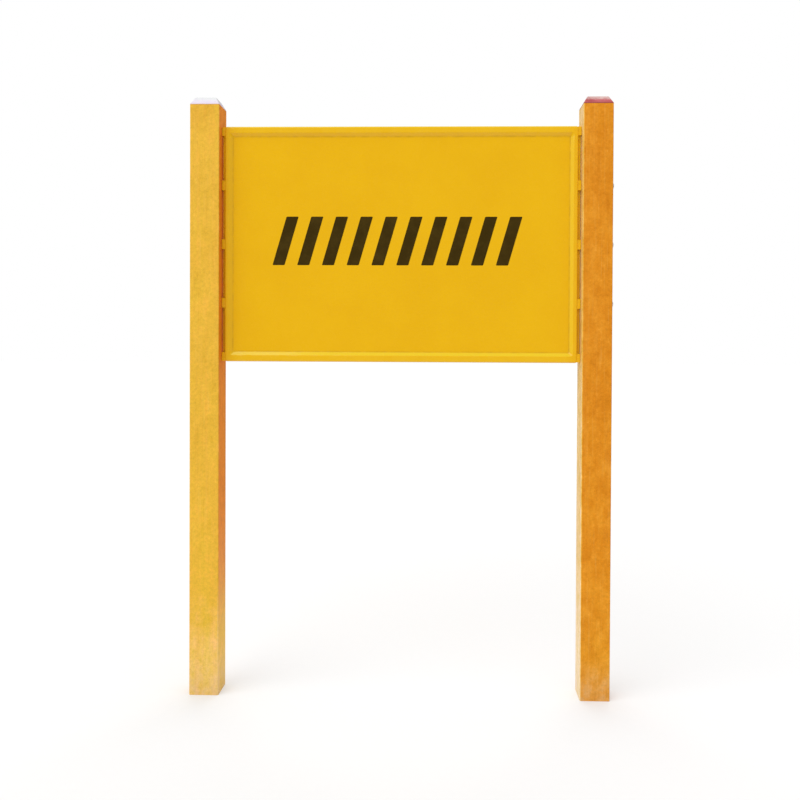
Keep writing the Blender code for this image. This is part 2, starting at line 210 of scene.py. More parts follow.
class NodeSheet:
    """The nodes of one material or world, added one after another."""

    def __init__(self, tree: bpy.types.NodeTree) -> None:
        """Clear a node tree before it is filled."""
        self.tree = tree
        tree.nodes.clear()

    def add(self, kind: str, settings: dict[str, object] | None = None,
            sockets: dict[str | int, object] | None = None) -> bpy.types.Node:
        """Add one node.

        Args:
            kind: The node's type name.
            settings: Its properties, set first.
            sockets: What goes into its inputs: a number, a colour, a Value or another node's output.

        Returns:
            The new node.
        """
        node = self.tree.nodes.new(kind)
        for key, setting in (settings or {}).items():
            setattr(node, key, setting)
        for key, given in (sockets or {}).items():
            self.plug(self.input_of(node, key), given)
        return node

    @staticmethod
    def input_of(node: bpy.types.Node, key: str | int) -> bpy.types.NodeSocket:
        """Find an input socket.

        Args:
            node: The node that has it.
            key: The socket's number, identifier or name.

        Returns:
            The socket.
        """
        if isinstance(key, int):
            return node.inputs[key]
        for socket in node.inputs:
            if socket.identifier == key:
                return socket
        return node.inputs[key]

    def plug(self, socket: bpy.types.NodeSocket, given: object) -> None:
        """Set or link one input.

        Args:
            socket: The input.
            given: A number, a colour, a Value or an output socket.
        """
        if isinstance(given, Value):
            self.tree.links.new(given.socket, socket)
        elif isinstance(given, bpy.types.NodeSocket):
            self.tree.links.new(given, socket)
        elif socket.type == "RGBA" and len(given) == 3:
            socket.default_value = (*given, 1.0)
        else:
            socket.default_value = given

    def maths(self, operation: str, *numbers: "Value | float") -> Value:
        """The result of a Math node's operation on one or two numbers."""
        made = self.add("ShaderNodeMath", {"operation": operation}, dict(enumerate(numbers)))
        return Value(self, made.outputs[0])

    def place(self) -> bpy.types.NodeSocket:
        """The point's place in metres, in the sign's own axes."""
        return self.add("ShaderNodeTexCoord").outputs["Object"]

    def normal(self) -> tuple[Value, Value, Value]:
        """The three parts of the surface's own direction."""
        return self.split(self.add("ShaderNodeNewGeometry").outputs["Normal"])

    def ray(self, kind: str) -> Value:
        """One for light paths of a kind, such as Camera or Glossy, and zero for the others."""
        return Value(self, self.add("ShaderNodeLightPath").outputs[f"Is {kind} Ray"])

    def seen_directly(self) -> Value:
        """One for rays from the camera, a reflection or a clear body, and zero for scattered light."""
        return self.ray("Camera").most(self.ray("Glossy")).most(self.ray("Transmission"))

    def shine(self, strength: float) -> bpy.types.NodeSocket:
        """Plain white light of a strength."""
        return self.add("ShaderNodeEmission", None, {"Color": WHITE, "Strength": strength}).outputs[0]

    def mixed(self, share: Value, base: bpy.types.NodeSocket,
              top: bpy.types.NodeSocket) -> bpy.types.NodeSocket:
        """A base shader that gives way to another one by a share from 0 to 1."""
        return self.add("ShaderNodeMixShader", None, {0: share, 1: base, 2: top}).outputs[0]

    def split(self, vector: bpy.types.NodeSocket) -> tuple[Value, Value, Value]:
        """The three parts of a vector, as numbers."""
        parts = self.add("ShaderNodeSeparateXYZ", None, {0: vector}).outputs
        return Value(self, parts[0]), Value(self, parts[1]), Value(self, parts[2])

    def stretched(self, vector: bpy.types.NodeSocket, scale: Triple,
                  shift: Triple = (0.0, 0.0, 0.0)) -> bpy.types.NodeSocket:
        """A place, scaled along each axis and then shifted."""
        made = self.add("ShaderNodeMapping", None, {"Vector": vector, "Location": shift, "Scale": scale})
        return made.outputs[0]

    def noise(self, vector: bpy.types.NodeSocket, scale: float, detail: float,
              roughness: float = 0.5) -> Value:
        """Cloudy noise about 0.5.

        Args:
            vector: The place to read it at.
            scale: How many features there are to a unit of length.
            detail: How many finer layers it has.
            roughness: How strong the finer layers are.

        Returns:
            The noise's height.
        """
        made = self.add("ShaderNodeTexNoise", None, {"Vector": vector, "Scale": scale, "Detail": detail,
                                                     "Roughness": roughness})
        return Value(self, made.outputs[0])

    def blend(self, share: "Value | float", base: object, top: object,
              blend_type: str = "MIX") -> bpy.types.NodeSocket:
        """Mix two colours.

        Args:
            share: How much of the second colour shows.
            base: The first colour.
            top: The second colour.
            blend_type: The Mix node's way of mixing.

        Returns:
            The mixed colour.
        """
        made = self.add("ShaderNodeMix", {"data_type": "RGBA", "blend_type": blend_type},
                        {"Factor_Float": share, "A_Color": base, "B_Color": top})
        return next(socket for socket in made.outputs if socket.identifier == "Result_Color")

    def shaded(self, colour: bpy.types.NodeSocket, level: Value) -> bpy.types.NodeSocket:
        """A colour made lighter or darker by a factor."""
        made = self.add("ShaderNodeVectorMath", {"operation": "SCALE"}, {0: colour, "Scale": level})
        return made.outputs[0]

    def relief(self, height: Value, distance: float) -> bpy.types.NodeSocket:
        """The normal of a bumpy surface, where a height of 1 stands for a distance in metres."""
        made = self.add("ShaderNodeBump", None, {"Strength": 1.0, "Distance": distance, "Height": height})
        return made.outputs[0]


@dataclass(frozen=True)
class Finish:
    """A surface finish, which becomes one material."""

    name: str

    def material(self) -> bpy.types.Material:
        """Make the finish's material.

        Returns:
            A material that shows the finish's surface.
        """
        material = bpy.data.materials.new(self.name)
        material.use_nodes = True
        sheet = NodeSheet(material.node_tree)
        sheet.add("ShaderNodeOutputMaterial", None, {"Surface": self.surface(sheet)})
        return material

    def surface(self, sheet: NodeSheet) -> bpy.types.NodeSocket:
        """A Principled shader that the finish's own nodes feed."""
        return sheet.add("ShaderNodeBsdfPrincipled", None, self.inputs(sheet)).outputs[0]

    def inputs(self, sheet: NodeSheet) -> dict[str | int, object]:
        """What goes into the shader's sockets."""
        raise NotImplementedError


@dataclass(frozen=True)
class FibreglassFinish(Finish):
    """Pultruded fibreglass: a dull orange skin over long strands, with painted light and shade: paler on
    faces turned to the light and near the ground, darker beside the panel.
    """

    deep: Triple = (0.840, 0.240, 0.010)
    painted_lit_colour: Triple = (0.805, 0.466, 0.036)
    glow: Triple = (1.04, 0.95, 1.20)
    ochre: Triple = (0.96, 1.01, 0.80)
    strand: Triple = (0.880, 0.560, 0.150)
    resin: Triple = (0.560, 0.165, 0.008)
    palest_lit_colour: Triple = (0.900, 0.620, 0.240)
    soil: Triple = (0.62, 0.47, 0.29)
    palest_lit_range: Pair = (1.05, 1.60)
    inwards: float = 1.0
    front_light: float = 0.5
    inner_light: float = 0.2
    foot_bounce_light: float = 0.5
    front_bounce_light: float = 0.1
    outer_light: float = 0.5
    rear_light: float = 0.25
    mottling: float = 0.5
    banding: float = 0.25
    sheen: float = 0.28
    panel_shading: float = 1.0
    panel_shade_foot: Pair = (-0.02, 0.03)
    panel_shade_top: Pair = (0.02, -0.02)
    turned: Pair = (0.15, 0.95)
    bounce_height: Pair = (0.42, 0.03)
    splash: Pair = (0.12, 0.0)
    arris: Pair = (-0.0040, -0.0008)
    blotch_scale: Triple = (46.0, 46.0, 30.0)
    band_scale: Triple = (95.0, 95.0, 1.6)
    band_shift: Triple = (3.1, 0.7, 0.0)
    strand_scale: Triple = (760.0, 760.0, 9.0)
    relief_depth: float = 0.00055

    def lit_paleness(self, sheet: NodeSheet, height: Value) -> Value:
        """How much paler each of the tube's faces is painted, before its patches: painted light by
        facing, painted shade beside the panel and painted bounce light near the ground.

        Args:
            sheet: The material's node sheet.
            height: The point's height above the ground.

        Returns:
            From 0, the deep orange painted for faces in shade, up to 1 and more, where the palest painted
            light shows.
        """
        turned_right, turned_back, _ = sheet.normal()
        # Painted shade: the inner faces stay darker between the panel's lower and upper edges, where the
        # panel keeps the light off.
        panel_low, panel_high = PANEL_CENTRE - PANEL_HALF_HEIGHT, PANEL_CENTRE + PANEL_HALF_HEIGHT
        panel_shaded = height.rise_past(panel_low, *self.panel_shade_foot) \
            * height.rise_past(panel_high, *self.panel_shade_top) * self.panel_shading
        # Painted bounce light from the floor: faces turn paler towards the ground.
        low = height.rise(*self.bounce_height)
        turned_in = turned_right * self.inwards
        inner = (1.0 - panel_shaded) * self.inner_light + low * self.foot_bounce_light
        # Painted light and shade by facing: each way a face turns gets its own paleness, as the light
        # falls on it.
        return (-turned_back).rise(*self.turned) * (self.front_light + low * self.front_bounce_light) \
            + turned_back.rise(*self.turned) * self.rear_light \
            + (-turned_in).rise(*self.turned) * self.outer_light \
            + turned_in.rise(*self.turned) * inner

    def inputs(self, sheet: NodeSheet) -> dict[str | int, object]:
        """Build the post's colour, gloss and grain.

        Args:
            sheet: The material's node sheet.

        Returns:
            The shader's inputs.
        """
        place = sheet.place()
        across, deep_in, height = sheet.split(place)
        patches = sheet.noise(place, 6.0, detail=3.0, roughness=0.55)
        blotches = sheet.noise(sheet.stretched(place, self.blotch_scale), 1.0, detail=4.0, roughness=0.62)
        mottle = sheet.noise(place, 130.0, detail=3.0, roughness=0.60)
        bands = sheet.noise(sheet.stretched(place, self.band_scale, self.band_shift), 1.0, detail=2.0)
        grain = sheet.noise(place, 430.0, detail=2.0)
        strands = sheet.noise(sheet.stretched(place, self.strand_scale), 1.0, detail=3.0, roughness=0.6)
        # The painted light and shade, plus random patches, choose between the deep shaded colour and the
        # painted lit colour.
        lit_paleness = self.lit_paleness(sheet, height) + patches.swing(0.30) + blotches.swing(0.36)
        colour = sheet.blend(lit_paleness.held(), self.deep, self.painted_lit_colour)
        # Painted glare: where the painted light is strongest the colour turns palest. This is a painted
        # reflection on the right post's inner face and painted bounce light at the feet.
        colour = sheet.blend(lit_paleness.rise(*self.palest_lit_range) * 0.8, colour, self.palest_lit_colour)
        warm = bands.rise(0.50, 0.66) * self.banding + blotches.rise(0.48, 0.68) * self.mottling
        dull = bands.rise(0.46, 0.33) * self.banding + blotches.rise(0.48, 0.32) * self.mottling \
            + mottle.rise(0.50, 0.30) * self.mottling * 0.5
        colour = sheet.blend(warm.least(1.0), colour, self.glow, "MULTIPLY")
        colour = sheet.blend(dull.least(1.0), colour, self.ochre, "MULTIPLY")
        for share, streak in ((mottle.rise(0.62, 0.80) * 0.20, self.strand),
                              (blotches.rise(0.36, 0.22) * 0.20, self.resin),
                              (strands.rise(0.55, 0.76) * 0.30, self.strand),
                              (strands.rise(0.44, 0.26) * 0.26, self.resin)):
            colour = sheet.blend(share, colour, streak)
        # Painted shade along the rounded arrises, which are darkened; worn spots on them show paler
        # strands.
        off_centre = abs(abs(across) - POST_CENTRE)
        arris = off_centre.least(abs(deep_in)).rise_past(POST_HALF, *self.arris)
        colour = sheet.blend(arris * 0.5, colour, self.ochre, "MULTIPLY")
        worn = arris * (blotches * 0.6 + patches * 0.6).rise(0.52, 0.80)
        colour = sheet.blend(worn * 0.30, colour, self.strand)
        splashed = height.rise(*self.splash) * (0.35 + blotches.rise(0.40, 0.62) * 0.65)
        colour = sheet.blend(splashed * 0.34, colour, self.soil)
        level = 1.0 + patches.swing(0.16) + blotches.swing(0.24) + mottle.swing(0.40) + grain.swing(0.30)
        relief = blotches * 0.35 + mottle * 0.25 + grain * 0.20 + strands * 0.20
        return {
            "Base Color": sheet.shaded(colour, level),
            "Roughness": 0.50 + mottle.swing(0.24) + worn * 0.15,
            "IOR": 1.5,
            "Specular IOR Level": self.sheen,
            "Normal": sheet.relief(relief, self.relief_depth),
        }


@dataclass(frozen=True)
class GelCoatFinish(Finish):
    """Glossy yellow gel coat on the moulded panel, with faint clouds, a darker line along the field's
    inner crease, a painted highlight on faces turned up and left, and painted skylight in the side gaps.
    """

    colour: Triple = (0.820, 0.446, 0.0012)
    cloud: Triple = (0.846, 0.476, 0.0020)
    chalk: Triple = (0.860, 0.540, 0.022)
    painted_light_colour: Triple = (0.815, 0.620, 0.0040)
    crease_tone: Triple = (0.640, 0.350, 0.006)
    field_half_width: float = PANEL_HALF_WIDTH - SIDE_RIM - SLOPE
    field_half_height: float = PANEL_HALF_HEIGHT - END_RIM - SLOPE
    crease_width: float = 0.0045
    crease_reach: Pair = (0.004, 0.0)
    rim_start: Pair = (0.007, 0.010)
    rubbed_band: Pair = (-0.003, -0.0005)
    skylit_edge: Pair = (0.0002, 0.0010)
    skylit_depth: Pair = (0.0060, 0.0020)
    skylit_height: Pair = (0.03, 0.26)
    relief_depth: float = 0.00006

    def inputs(self, sheet: NodeSheet) -> dict[str | int, object]:
        """Build the panel's colour, gloss and orange peel.

        Args:
            sheet: The material's node sheet.

        Returns:
            The shader's inputs.
        """
        place = sheet.place()
        across, deep_in, height = sheet.split(place)
        turned_right, _, turned_up = sheet.normal()
        out, up = abs(across), abs(height - PANEL_CENTRE)
        wide, tall = self.field_half_width, self.field_half_height
        clouds = sheet.noise(place, 7.0, detail=4.0, roughness=0.6)
        blotches = sheet.noise(place, 46.0, detail=3.0, roughness=0.6)
        peel = sheet.noise(place, 260.0, detail=2.0)
        colour = sheet.blend(0.2 + clouds.rise(0.34, 0.68) * 0.6, self.colour, self.cloud)
        # A darker, rougher line along the crease at the foot of the slope, in blotches.
        inside = out.rise_past(wide, *self.crease_reach) * up.rise_past(tall, *self.crease_reach)
        corner_line = abs(out - wide).least(abs(up - tall)).rise(self.crease_width, 0.0) * inside
        colour = sheet.blend(corner_line * (0.25 + blotches.rise(0.35, 0.65) * 0.50), colour, self.crease_tone)
        rim = out.rise_past(wide, *self.rim_start).most(up.rise_past(tall, *self.rim_start))
        colour = sheet.blend(rim * (0.30 + blotches.swing(0.5)), colour, self.chalk)
        # Painted highlight: faces turned up, and less so those turned left, take a paler, greener yellow
        # as if lit.
        lit = turned_up.rise(0.15, 0.80).most((-turned_right).rise(0.25, 0.75) * 0.45)
        # Painted skylight: the lugs and flanges in the gaps beside the posts turn paler and brighter
        # towards the top.
        skylit = out.rise_past(PANEL_HALF_WIDTH, *self.skylit_edge) \
            * abs(deep_in).rise(*self.skylit_depth) * height.rise_past(PANEL_CENTRE, *self.skylit_height)
        colour = sheet.blend(lit.most(skylit * 0.4), colour, self.painted_light_colour)
        # The gel coat is rubbed near the panel's outer edges: paler, rougher and with less coat.
        near_edge = out.rise_past(PANEL_HALF_WIDTH, *self.rubbed_band).most(
            up.rise_past(PANEL_HALF_HEIGHT, *self.rubbed_band))
        pale_edge = near_edge * (peel * 0.5 + blotches * 0.6).rise(0.50, 0.72)
        colour = sheet.blend(pale_edge * 0.35, colour, self.chalk)
        # The painted skylight also raises the brightness in those gaps.
        level = 1.0 + clouds.swing(0.025) + peel.swing(0.03) + skylit * 0.15
        return {
            "Base Color": sheet.shaded(colour, level),
            "Roughness": 0.27 + blotches.swing(0.12) + pale_edge * 0.22 + corner_line * 0.12,
            "IOR": 1.5,
            "Specular IOR Level": 0.12,
            "Coat Weight": 0.60 - pale_edge * 0.5,
            "Coat Roughness": 0.07,
            "Normal": sheet.relief(peel * 0.5 + blotches * 0.5, self.relief_depth),
        }


@dataclass(frozen=True)
class MouldedPlasticFinish(Finish):
    """Injection-moulded plastic of a post cap, faded in patches, with a painted highlight along its top
    edges.
    """

    colour: Triple = (0.80, 0.80, 0.80)
    faded: Triple = (0.85, 0.85, 0.85)
    pale_edge: Triple = (0.88, 0.88, 0.88)
    foot_tint: Triple = (0.40, 0.38, 0.36)
    brim_height: Pair = (-0.0125, -0.0035)
    brim_width: Pair = (-0.0060, -0.0010)
    foot_height: Pair = (0.0058, 0.0004)
    raggedness: float = 0.009
    relief_depth: float = 0.00006

    def inputs(self, sheet: NodeSheet) -> dict[str | int, object]:
        """Build the cap's colour, gloss and fine grain.

        Args:
            sheet: The material's node sheet.

        Returns:
            The shader's inputs.
        """
        place = sheet.place()
        across, deep_in, height = sheet.split(place)
        patches = sheet.noise(place, 38.0, detail=4.0, roughness=0.6)
        scuffs = sheet.noise(place, 190.0, detail=5.0, roughness=0.68)
        grain = sheet.noise(place, 900.0, detail=2.0)
        colour = sheet.blend(patches.rise(0.32, 0.68), self.colour, self.faded)
        # Painted highlight along the head's top edges: a ragged band of the pale edge colour.
        off_centre = abs(abs(across) - POST_CENTRE).most(abs(deep_in))
        ragged = scuffs.swing(self.raggedness)
        brim = (height + ragged).rise_past(CAP_TOP, *self.brim_height) \
            * (off_centre + ragged).rise_past(CAP_TOP_HALF, *self.brim_width)
        share = 0.78 + patches.swing(0.8) + scuffs.swing(0.9)
        colour = sheet.blend(brim * share.held(), colour, self.pale_edge)
        # A tint towards the head's foot, where it sits on the tube: pinkish on the white cap, darker on
        # the red one.
        foot = height.rise_past(POST_TOP, *self.foot_height)
        colour = sheet.blend(foot * (0.20 + patches.rise(0.34, 0.60) * 0.40), colour, self.foot_tint)
        return {
            "Base Color": sheet.shaded(colour, 1.0 + patches.swing(0.10) + grain.swing(0.05)),
            "Roughness": 0.42 + patches.swing(0.20),
            "IOR": 1.5,
            "Specular IOR Level": 0.45,
            "Normal": sheet.relief(grain * 0.6 + patches * 0.4, self.relief_depth),
        }


@dataclass(frozen=True)
class ZincFinish(Finish):
    """Bright zinc plating, with a faint bluish and yellowish bloom."""

    bright: Triple = (0.66, 0.68, 0.70)
    bloom: Triple = (0.58, 0.56, 0.47)
    stain: Triple = (0.36, 0.33, 0.29)
    relief_depth: float = 0.00004

    def inputs(self, sheet: NodeSheet) -> dict[str | int, object]:
        """Build the plating's colour and gloss.

        Args:
            sheet: The material's node sheet.

        Returns:
            The shader's inputs.
        """
        place = sheet.place()
        bloom = sheet.noise(place, 120.0, detail=3.0, roughness=0.6)
        spots = sheet.noise(place, 640.0, detail=2.0, roughness=0.6)
        stained = spots.rise(0.60, 0.74)
        colour = sheet.blend(bloom.rise(0.42, 0.66), self.bright, self.bloom)
        return {
            "Base Color": sheet.blend(stained * 0.6, colour, self.stain),
            "Metallic": 0.96 - stained * 0.5,
            "Roughness": 0.30 + bloom.swing(0.25) + stained * 0.2,
            "Normal": sheet.relief(spots, self.relief_depth),
        }


@dataclass(frozen=True)
class FilmFinish(Finish):
    """Dark cut film stuck on the field, a little worn at random."""

    colour: Triple = (0.046, 0.026, 0.001)
    worn: Triple = (0.090, 0.054, 0.004)
    scuff_scale: Triple = (220.0, 220.0, 900.0)
    relief_depth: float = 0.00004

    def inputs(self, sheet: NodeSheet) -> dict[str | int, object]:
        """Build the film's colour and sheen.

        Args:
            sheet: The material's node sheet.

        Returns:
            The shader's inputs.
        """
        place = sheet.place()
        clouds = sheet.noise(place, 30.0, detail=4.0, roughness=0.65)
        scuffs = sheet.noise(sheet.stretched(place, self.scuff_scale), 1.0, detail=3.0, roughness=0.6)
        colour = sheet.blend(clouds.rise(0.40, 0.75) * 0.35 + scuffs.rise(0.60, 0.78) * 0.30,
                             self.colour, self.worn)
        return {
            "Base Color": colour,
            "Roughness": 0.36 + clouds.swing(0.18),
            "IOR": 1.47,
            "Specular IOR Level": 0.12,
            "Normal": sheet.relief(clouds, self.relief_depth),
        }


@dataclass(frozen=True)
class SealantFinish(Finish):
    """The cured glue line between the panel's two trays."""

    colour: Triple = (0.42, 0.24, 0.03)
    pale: Triple = (0.62, 0.40, 0.08)
    relief_depth: float = 0.00015

    def inputs(self, sheet: NodeSheet) -> dict[str | int, object]:
        """Build the glue's colour.

        Args:
            sheet: The material's node sheet.

        Returns:
            The shader's inputs.
        """
        drips = sheet.noise(sheet.place(), 180.0, detail=3.0, roughness=0.6)
        return {
            "Base Color": sheet.blend(drips.rise(0.35, 0.65), self.colour, self.pale),
            "Roughness": 0.45 + drips.swing(0.3),
            "Normal": sheet.relief(drips, self.relief_depth),
        }


class Workpiece:
    """A mesh on the bench, shaped with Blender's own modelling tools."""

    def __init__(self, name: str) -> None:
        """Take up the primitive that was just added, and put its place into its mesh.

        Args:
            name: What the piece is called.
        """
        self.thing = bpy.context.view_layer.objects.active
        self.thing.name = name
        self.thing.data.name = name
        self.take_up()
        bpy.ops.object.transform_apply(location=True, rotation=True, scale=True)

    @classmethod
    def primitive(cls, name: str, adder: Primitive, **settings: object) -> "Workpiece":
        """Start from one of Blender's primitives, added while nothing else is selected.

        Args:
            name: What the piece is called.
            adder: The primitive's operator.
            settings: Its size, place and turn.

        Returns:
            The piece.
        """
        bpy.ops.object.select_all(action="DESELECT")
        adder(**settings)
        return cls(name)

    @classmethod
    def block(cls, name: str, low: Sequence[float], high: Sequence[float]) -> "Workpiece":
        """Start from a box.

        Args:
            name: What the piece is called.
            low: Its lowest corner.
            high: Its highest corner.

        Returns:
            The piece.
        """
        centre = [(start + end) / 2 for start, end in zip(low, high)]
        size = [end - start for start, end in zip(low, high)]
        return cls.primitive(name, bpy.ops.mesh.primitive_cube_add, size=1.0, location=centre, scale=size)

    @classmethod
    def round_bar(cls, name: str, radius: float, start: float, end: float, height: float,
                  corners: int) -> "Workpiece":
        """Start from a bar that lies along X.

        Args:
            name: What the piece is called.
            radius: Its radius.
            start: The X of one end.
            end: The X of the other end.
            height: Its centre's height above the ground.
            corners: How many corners its round has. Six make a hexagon with flats to front and back.

        Returns:
            The piece.
        """
        return cls.primitive(name, bpy.ops.mesh.primitive_cylinder_add, vertices=corners, radius=radius,
                             depth=abs(end - start), rotation=(0.0, math.pi / 2, 0.0),
                             location=((start + end) / 2, 0.0, height))

    def take_up(self) -> None:
        """Select only this piece, and make it the active one."""
        bpy.ops.object.select_all(action="DESELECT")
        self.thing.select_set(True)
        bpy.context.view_layer.objects.active = self.thing

    def edit(self, mode: str) -> bmesh.types.BMesh:
        """Enter edit mode with nothing selected.

        Args:
            mode: What is picked next, FACE, EDGE or VERT.

        Returns:
            The mesh in edit mode.
        """
        if bpy.context.mode != "OBJECT":
            bpy.ops.object.mode_set(mode="OBJECT")
        self.take_up()
        bpy.ops.object.mode_set(mode="EDIT")
        bpy.ops.mesh.select_mode(type=mode)
        bpy.ops.mesh.select_all(action="DESELECT")
        return bmesh.from_edit_mesh(self.thing.data)

    def leave(self) -> "Workpiece":
        """Go back to object mode."""
        bpy.ops.object.mode_set(mode="OBJECT")
        return self

    def pick_faces(self, test: PlaceTest) -> "Workpiece":
        """Select faces by their place and normal.

        Args:
            test: Says yes to a face's centre and normal.

        Returns:
            The piece, in edit mode.
        """
        shape = self.edit("FACE")
        for face in shape.faces:
            if test(face.calc_center_median(), face.normal):
                face.select_set(True)
        return self.picked(shape)

    def pick_edges(self, test: PlaceTest) -> "Workpiece":
        """Select edges by the places of their ends.

        Args:
            test: Says yes to an edge's two ends.

        Returns:
            The piece, in edit mode.
        """
        shape = self.edit("EDGE")
        for edge in shape.edges:
            if test(edge.verts[0].co, edge.verts[1].co):
                edge.select_set(True)
        return self.picked(shape)

    def picked(self, shape: bmesh.types.BMesh) -> "Workpiece":
        """Show Blender what code has selected.

        Args:
            shape: The mesh in edit mode.

        Returns:
            The piece, still in edit mode.
        """
        shape.select_flush_mode()
        bmesh.update_edit_mesh(self.thing.data)
        return self

    def round_off(self, radius: float, segments: int) -> "Workpiece":
        """Round the selected edges.

        Args:
            radius: The rounding's radius.
            segments: How many steps it has.

        Returns:
            The piece, still in edit mode.
        """
        bpy.ops.mesh.bevel(offset=radius, offset_type="OFFSET", segments=segments, profile=0.5,
                           affect="EDGES", clamp_overlap=True)
        return self

    def pull(self, shift: Triple, scale: Triple, centre: Triple) -> "Workpiece":
        """Extrude the selected face, then grow or shrink its new end.

        Args:
            shift: How far the new end moves.
            scale: A factor for each axis.
            centre: The point that the scaling keeps.

        Returns:
            The piece, with the new end selected.
        """
        bpy.ops.mesh.extrude_region_move(TRANSFORM_OT_translate={"value": shift})
        bpy.ops.transform.resize(value=scale, center_override=centre)
        return self

    def apply(self, modifier: bpy.types.Modifier) -> None:
        """Apply a modifier to the piece's mesh."""
        self.take_up()
        bpy.ops.object.modifier_apply(modifier=modifier.name)

    def combine(self, other: "Workpiece", joining: Joining) -> "Workpiece":
        """Cut with another body, or fuse it on, and put it away.

        Args:
            other: The second body.
            joining: What it does.

        Returns:
            The piece.
        """
        modifier = self.thing.modifiers.new(joining.name.lower(), "BOOLEAN")
        modifier.operation = joining.value
        modifier.solver = "EXACT"
        modifier.object = other.thing
        self.apply(modifier)
        bpy.data.objects.remove(other.thing, do_unlink=True)
        return self

    def drill(self, radius: float, start: float, end: float, corners: int) -> None:
        """Drill a round hole along X, from the start to the end, at each bolt's height."""
        for height in BOLT_HEIGHTS:
            self.combine(Workpiece.round_bar("drill", radius, start, end, height, corners), Joining.CUT)

    def soften(self, width: float, segments: int, angle: float) -> "Workpiece":
        """Round every edge that is sharper than an angle.

        Args:
            width: The rounding's width.
            segments: How many steps it has.
            angle: The least angle that counts as an edge.

        Returns:
            The piece.
        """
        modifier = self.thing.modifiers.new("soften", "BEVEL")
        modifier.width = width
        modifier.segments = segments
        modifier.limit_method = "ANGLE"
        modifier.angle_limit = angle
        modifier.use_clamp_overlap = True
        self.apply(modifier)
        return self

    def copy(self, name: str, shift: Triple) -> "Workpiece":
        """Copy the piece with a mesh of its own.

        Args:
            name: What the copy is called.
            shift: How far the copy stands from the piece.

        Returns:
            The copy.
        """
        self.take_up()
        bpy.ops.object.duplicate(linked=False)
        bpy.context.view_layer.objects.active.location = shift
        return Workpiece(name)

    def hand_over(self, material: bpy.types.Material, slot: str | None = None,
                  nodes: Sequence[str] = ()) -> None:
        """Smooth the finished piece, give it its finish and let it ride on the sign.

        Args:
            material: Its finish.
            slot: The record's slot that the finish comes from; not used.
            nodes: The CAD nodes that it stands for.
        """
        self.edit("VERT")
        bpy.ops.mesh.select_all(action="SELECT")
        bpy.ops.mesh.remove_doubles(threshold=MERGING)
        bpy.ops.mesh.normals_make_consistent(inside=False)
        self.leave().take_up()
        bpy.ops.object.shade_smooth_by_angle(angle=SMOOTHING)
        modifier = self.thing.modifiers.new("even_shading", "WEIGHTED_NORMAL")
        modifier.keep_sharp = True
        self.apply(modifier)
        self.thing.data.materials.clear()
        self.thing.data.materials.append(material)
        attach(self.thing, BODY)
        if nodes:
            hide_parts(*nodes)
        LOG.info("%s: %d faces", self.thing.name, len(self.thing.data.polygons))


@dataclass
class Post:
    """A pultruded square tube, sawn square at both ends and drilled for its bolts."""

    side: Side
    half: float = POST_HALF
    wall: float = 0.004
    length: float = POST_TOP
    outer_radius: float = 0.003
    saw_edge: float = 0.0004

    def build(self, material: bpy.types.Material) -> None:
        """Make the tube.

        Args:
            material: Its finish.
        """
        middle = self.side.post_centre
        tube = Workpiece.block(self.side.word + "_tube", (middle - self.half, -self.half, 0.0),
                               (middle + self.half, self.half, self.length))
        tube.pick_edges(lambda a, b: abs(a.z - b.z) > self.length / 2)
        tube.round_off(self.outer_radius, segments=7)
        ratio = (self.half - self.wall) / self.half
        for end in (0.0, self.length):
            tube.pick_faces(lambda centre, normal, z=end: abs(centre.z - z) < REACH)
            tube.pull((0.0, 0.0, 0.0), (ratio, ratio, 1.0), (middle, 0.0, end))
        tube.pick_faces(lambda centre, normal: abs(normal.z) > SQUARE_ON
                        and math.hypot(centre.x - middle, centre.y) < REACH)
        bpy.ops.mesh.delete(type="FACE")
        tube.pick_edges(lambda a, b: not self.on_skin(a) and not self.on_skin(b))
        bpy.ops.mesh.bridge_edge_loops()
        tube.pick_edges(self.on_sawn_edge).round_off(self.saw_edge, segments=2).leave()
        tube.drill(HOLE_RADIUS, middle - 2 * self.half, middle + 2 * self.half, corners=40)
        tube.hand_over(material, "post", (self.side.word + "_post",))

    def on_sawn_edge(self, start: Vector, end: Vector) -> bool:
        """Whether an edge runs round one of the sawn ends, on the outer or the inner skin."""
        level = abs(start.z - end.z) < REACH and min(start.z, self.length - start.z) < REACH
        return level and self.on_skin(start) == self.on_skin(end)

    def on_skin(self, point: Vector) -> bool:
        """Whether a point lies on the outer skin rather than the inner one."""
        return max(abs(point.x - self.side.post_centre), abs(point.y)) > self.half - self.wall / 2 - REACH


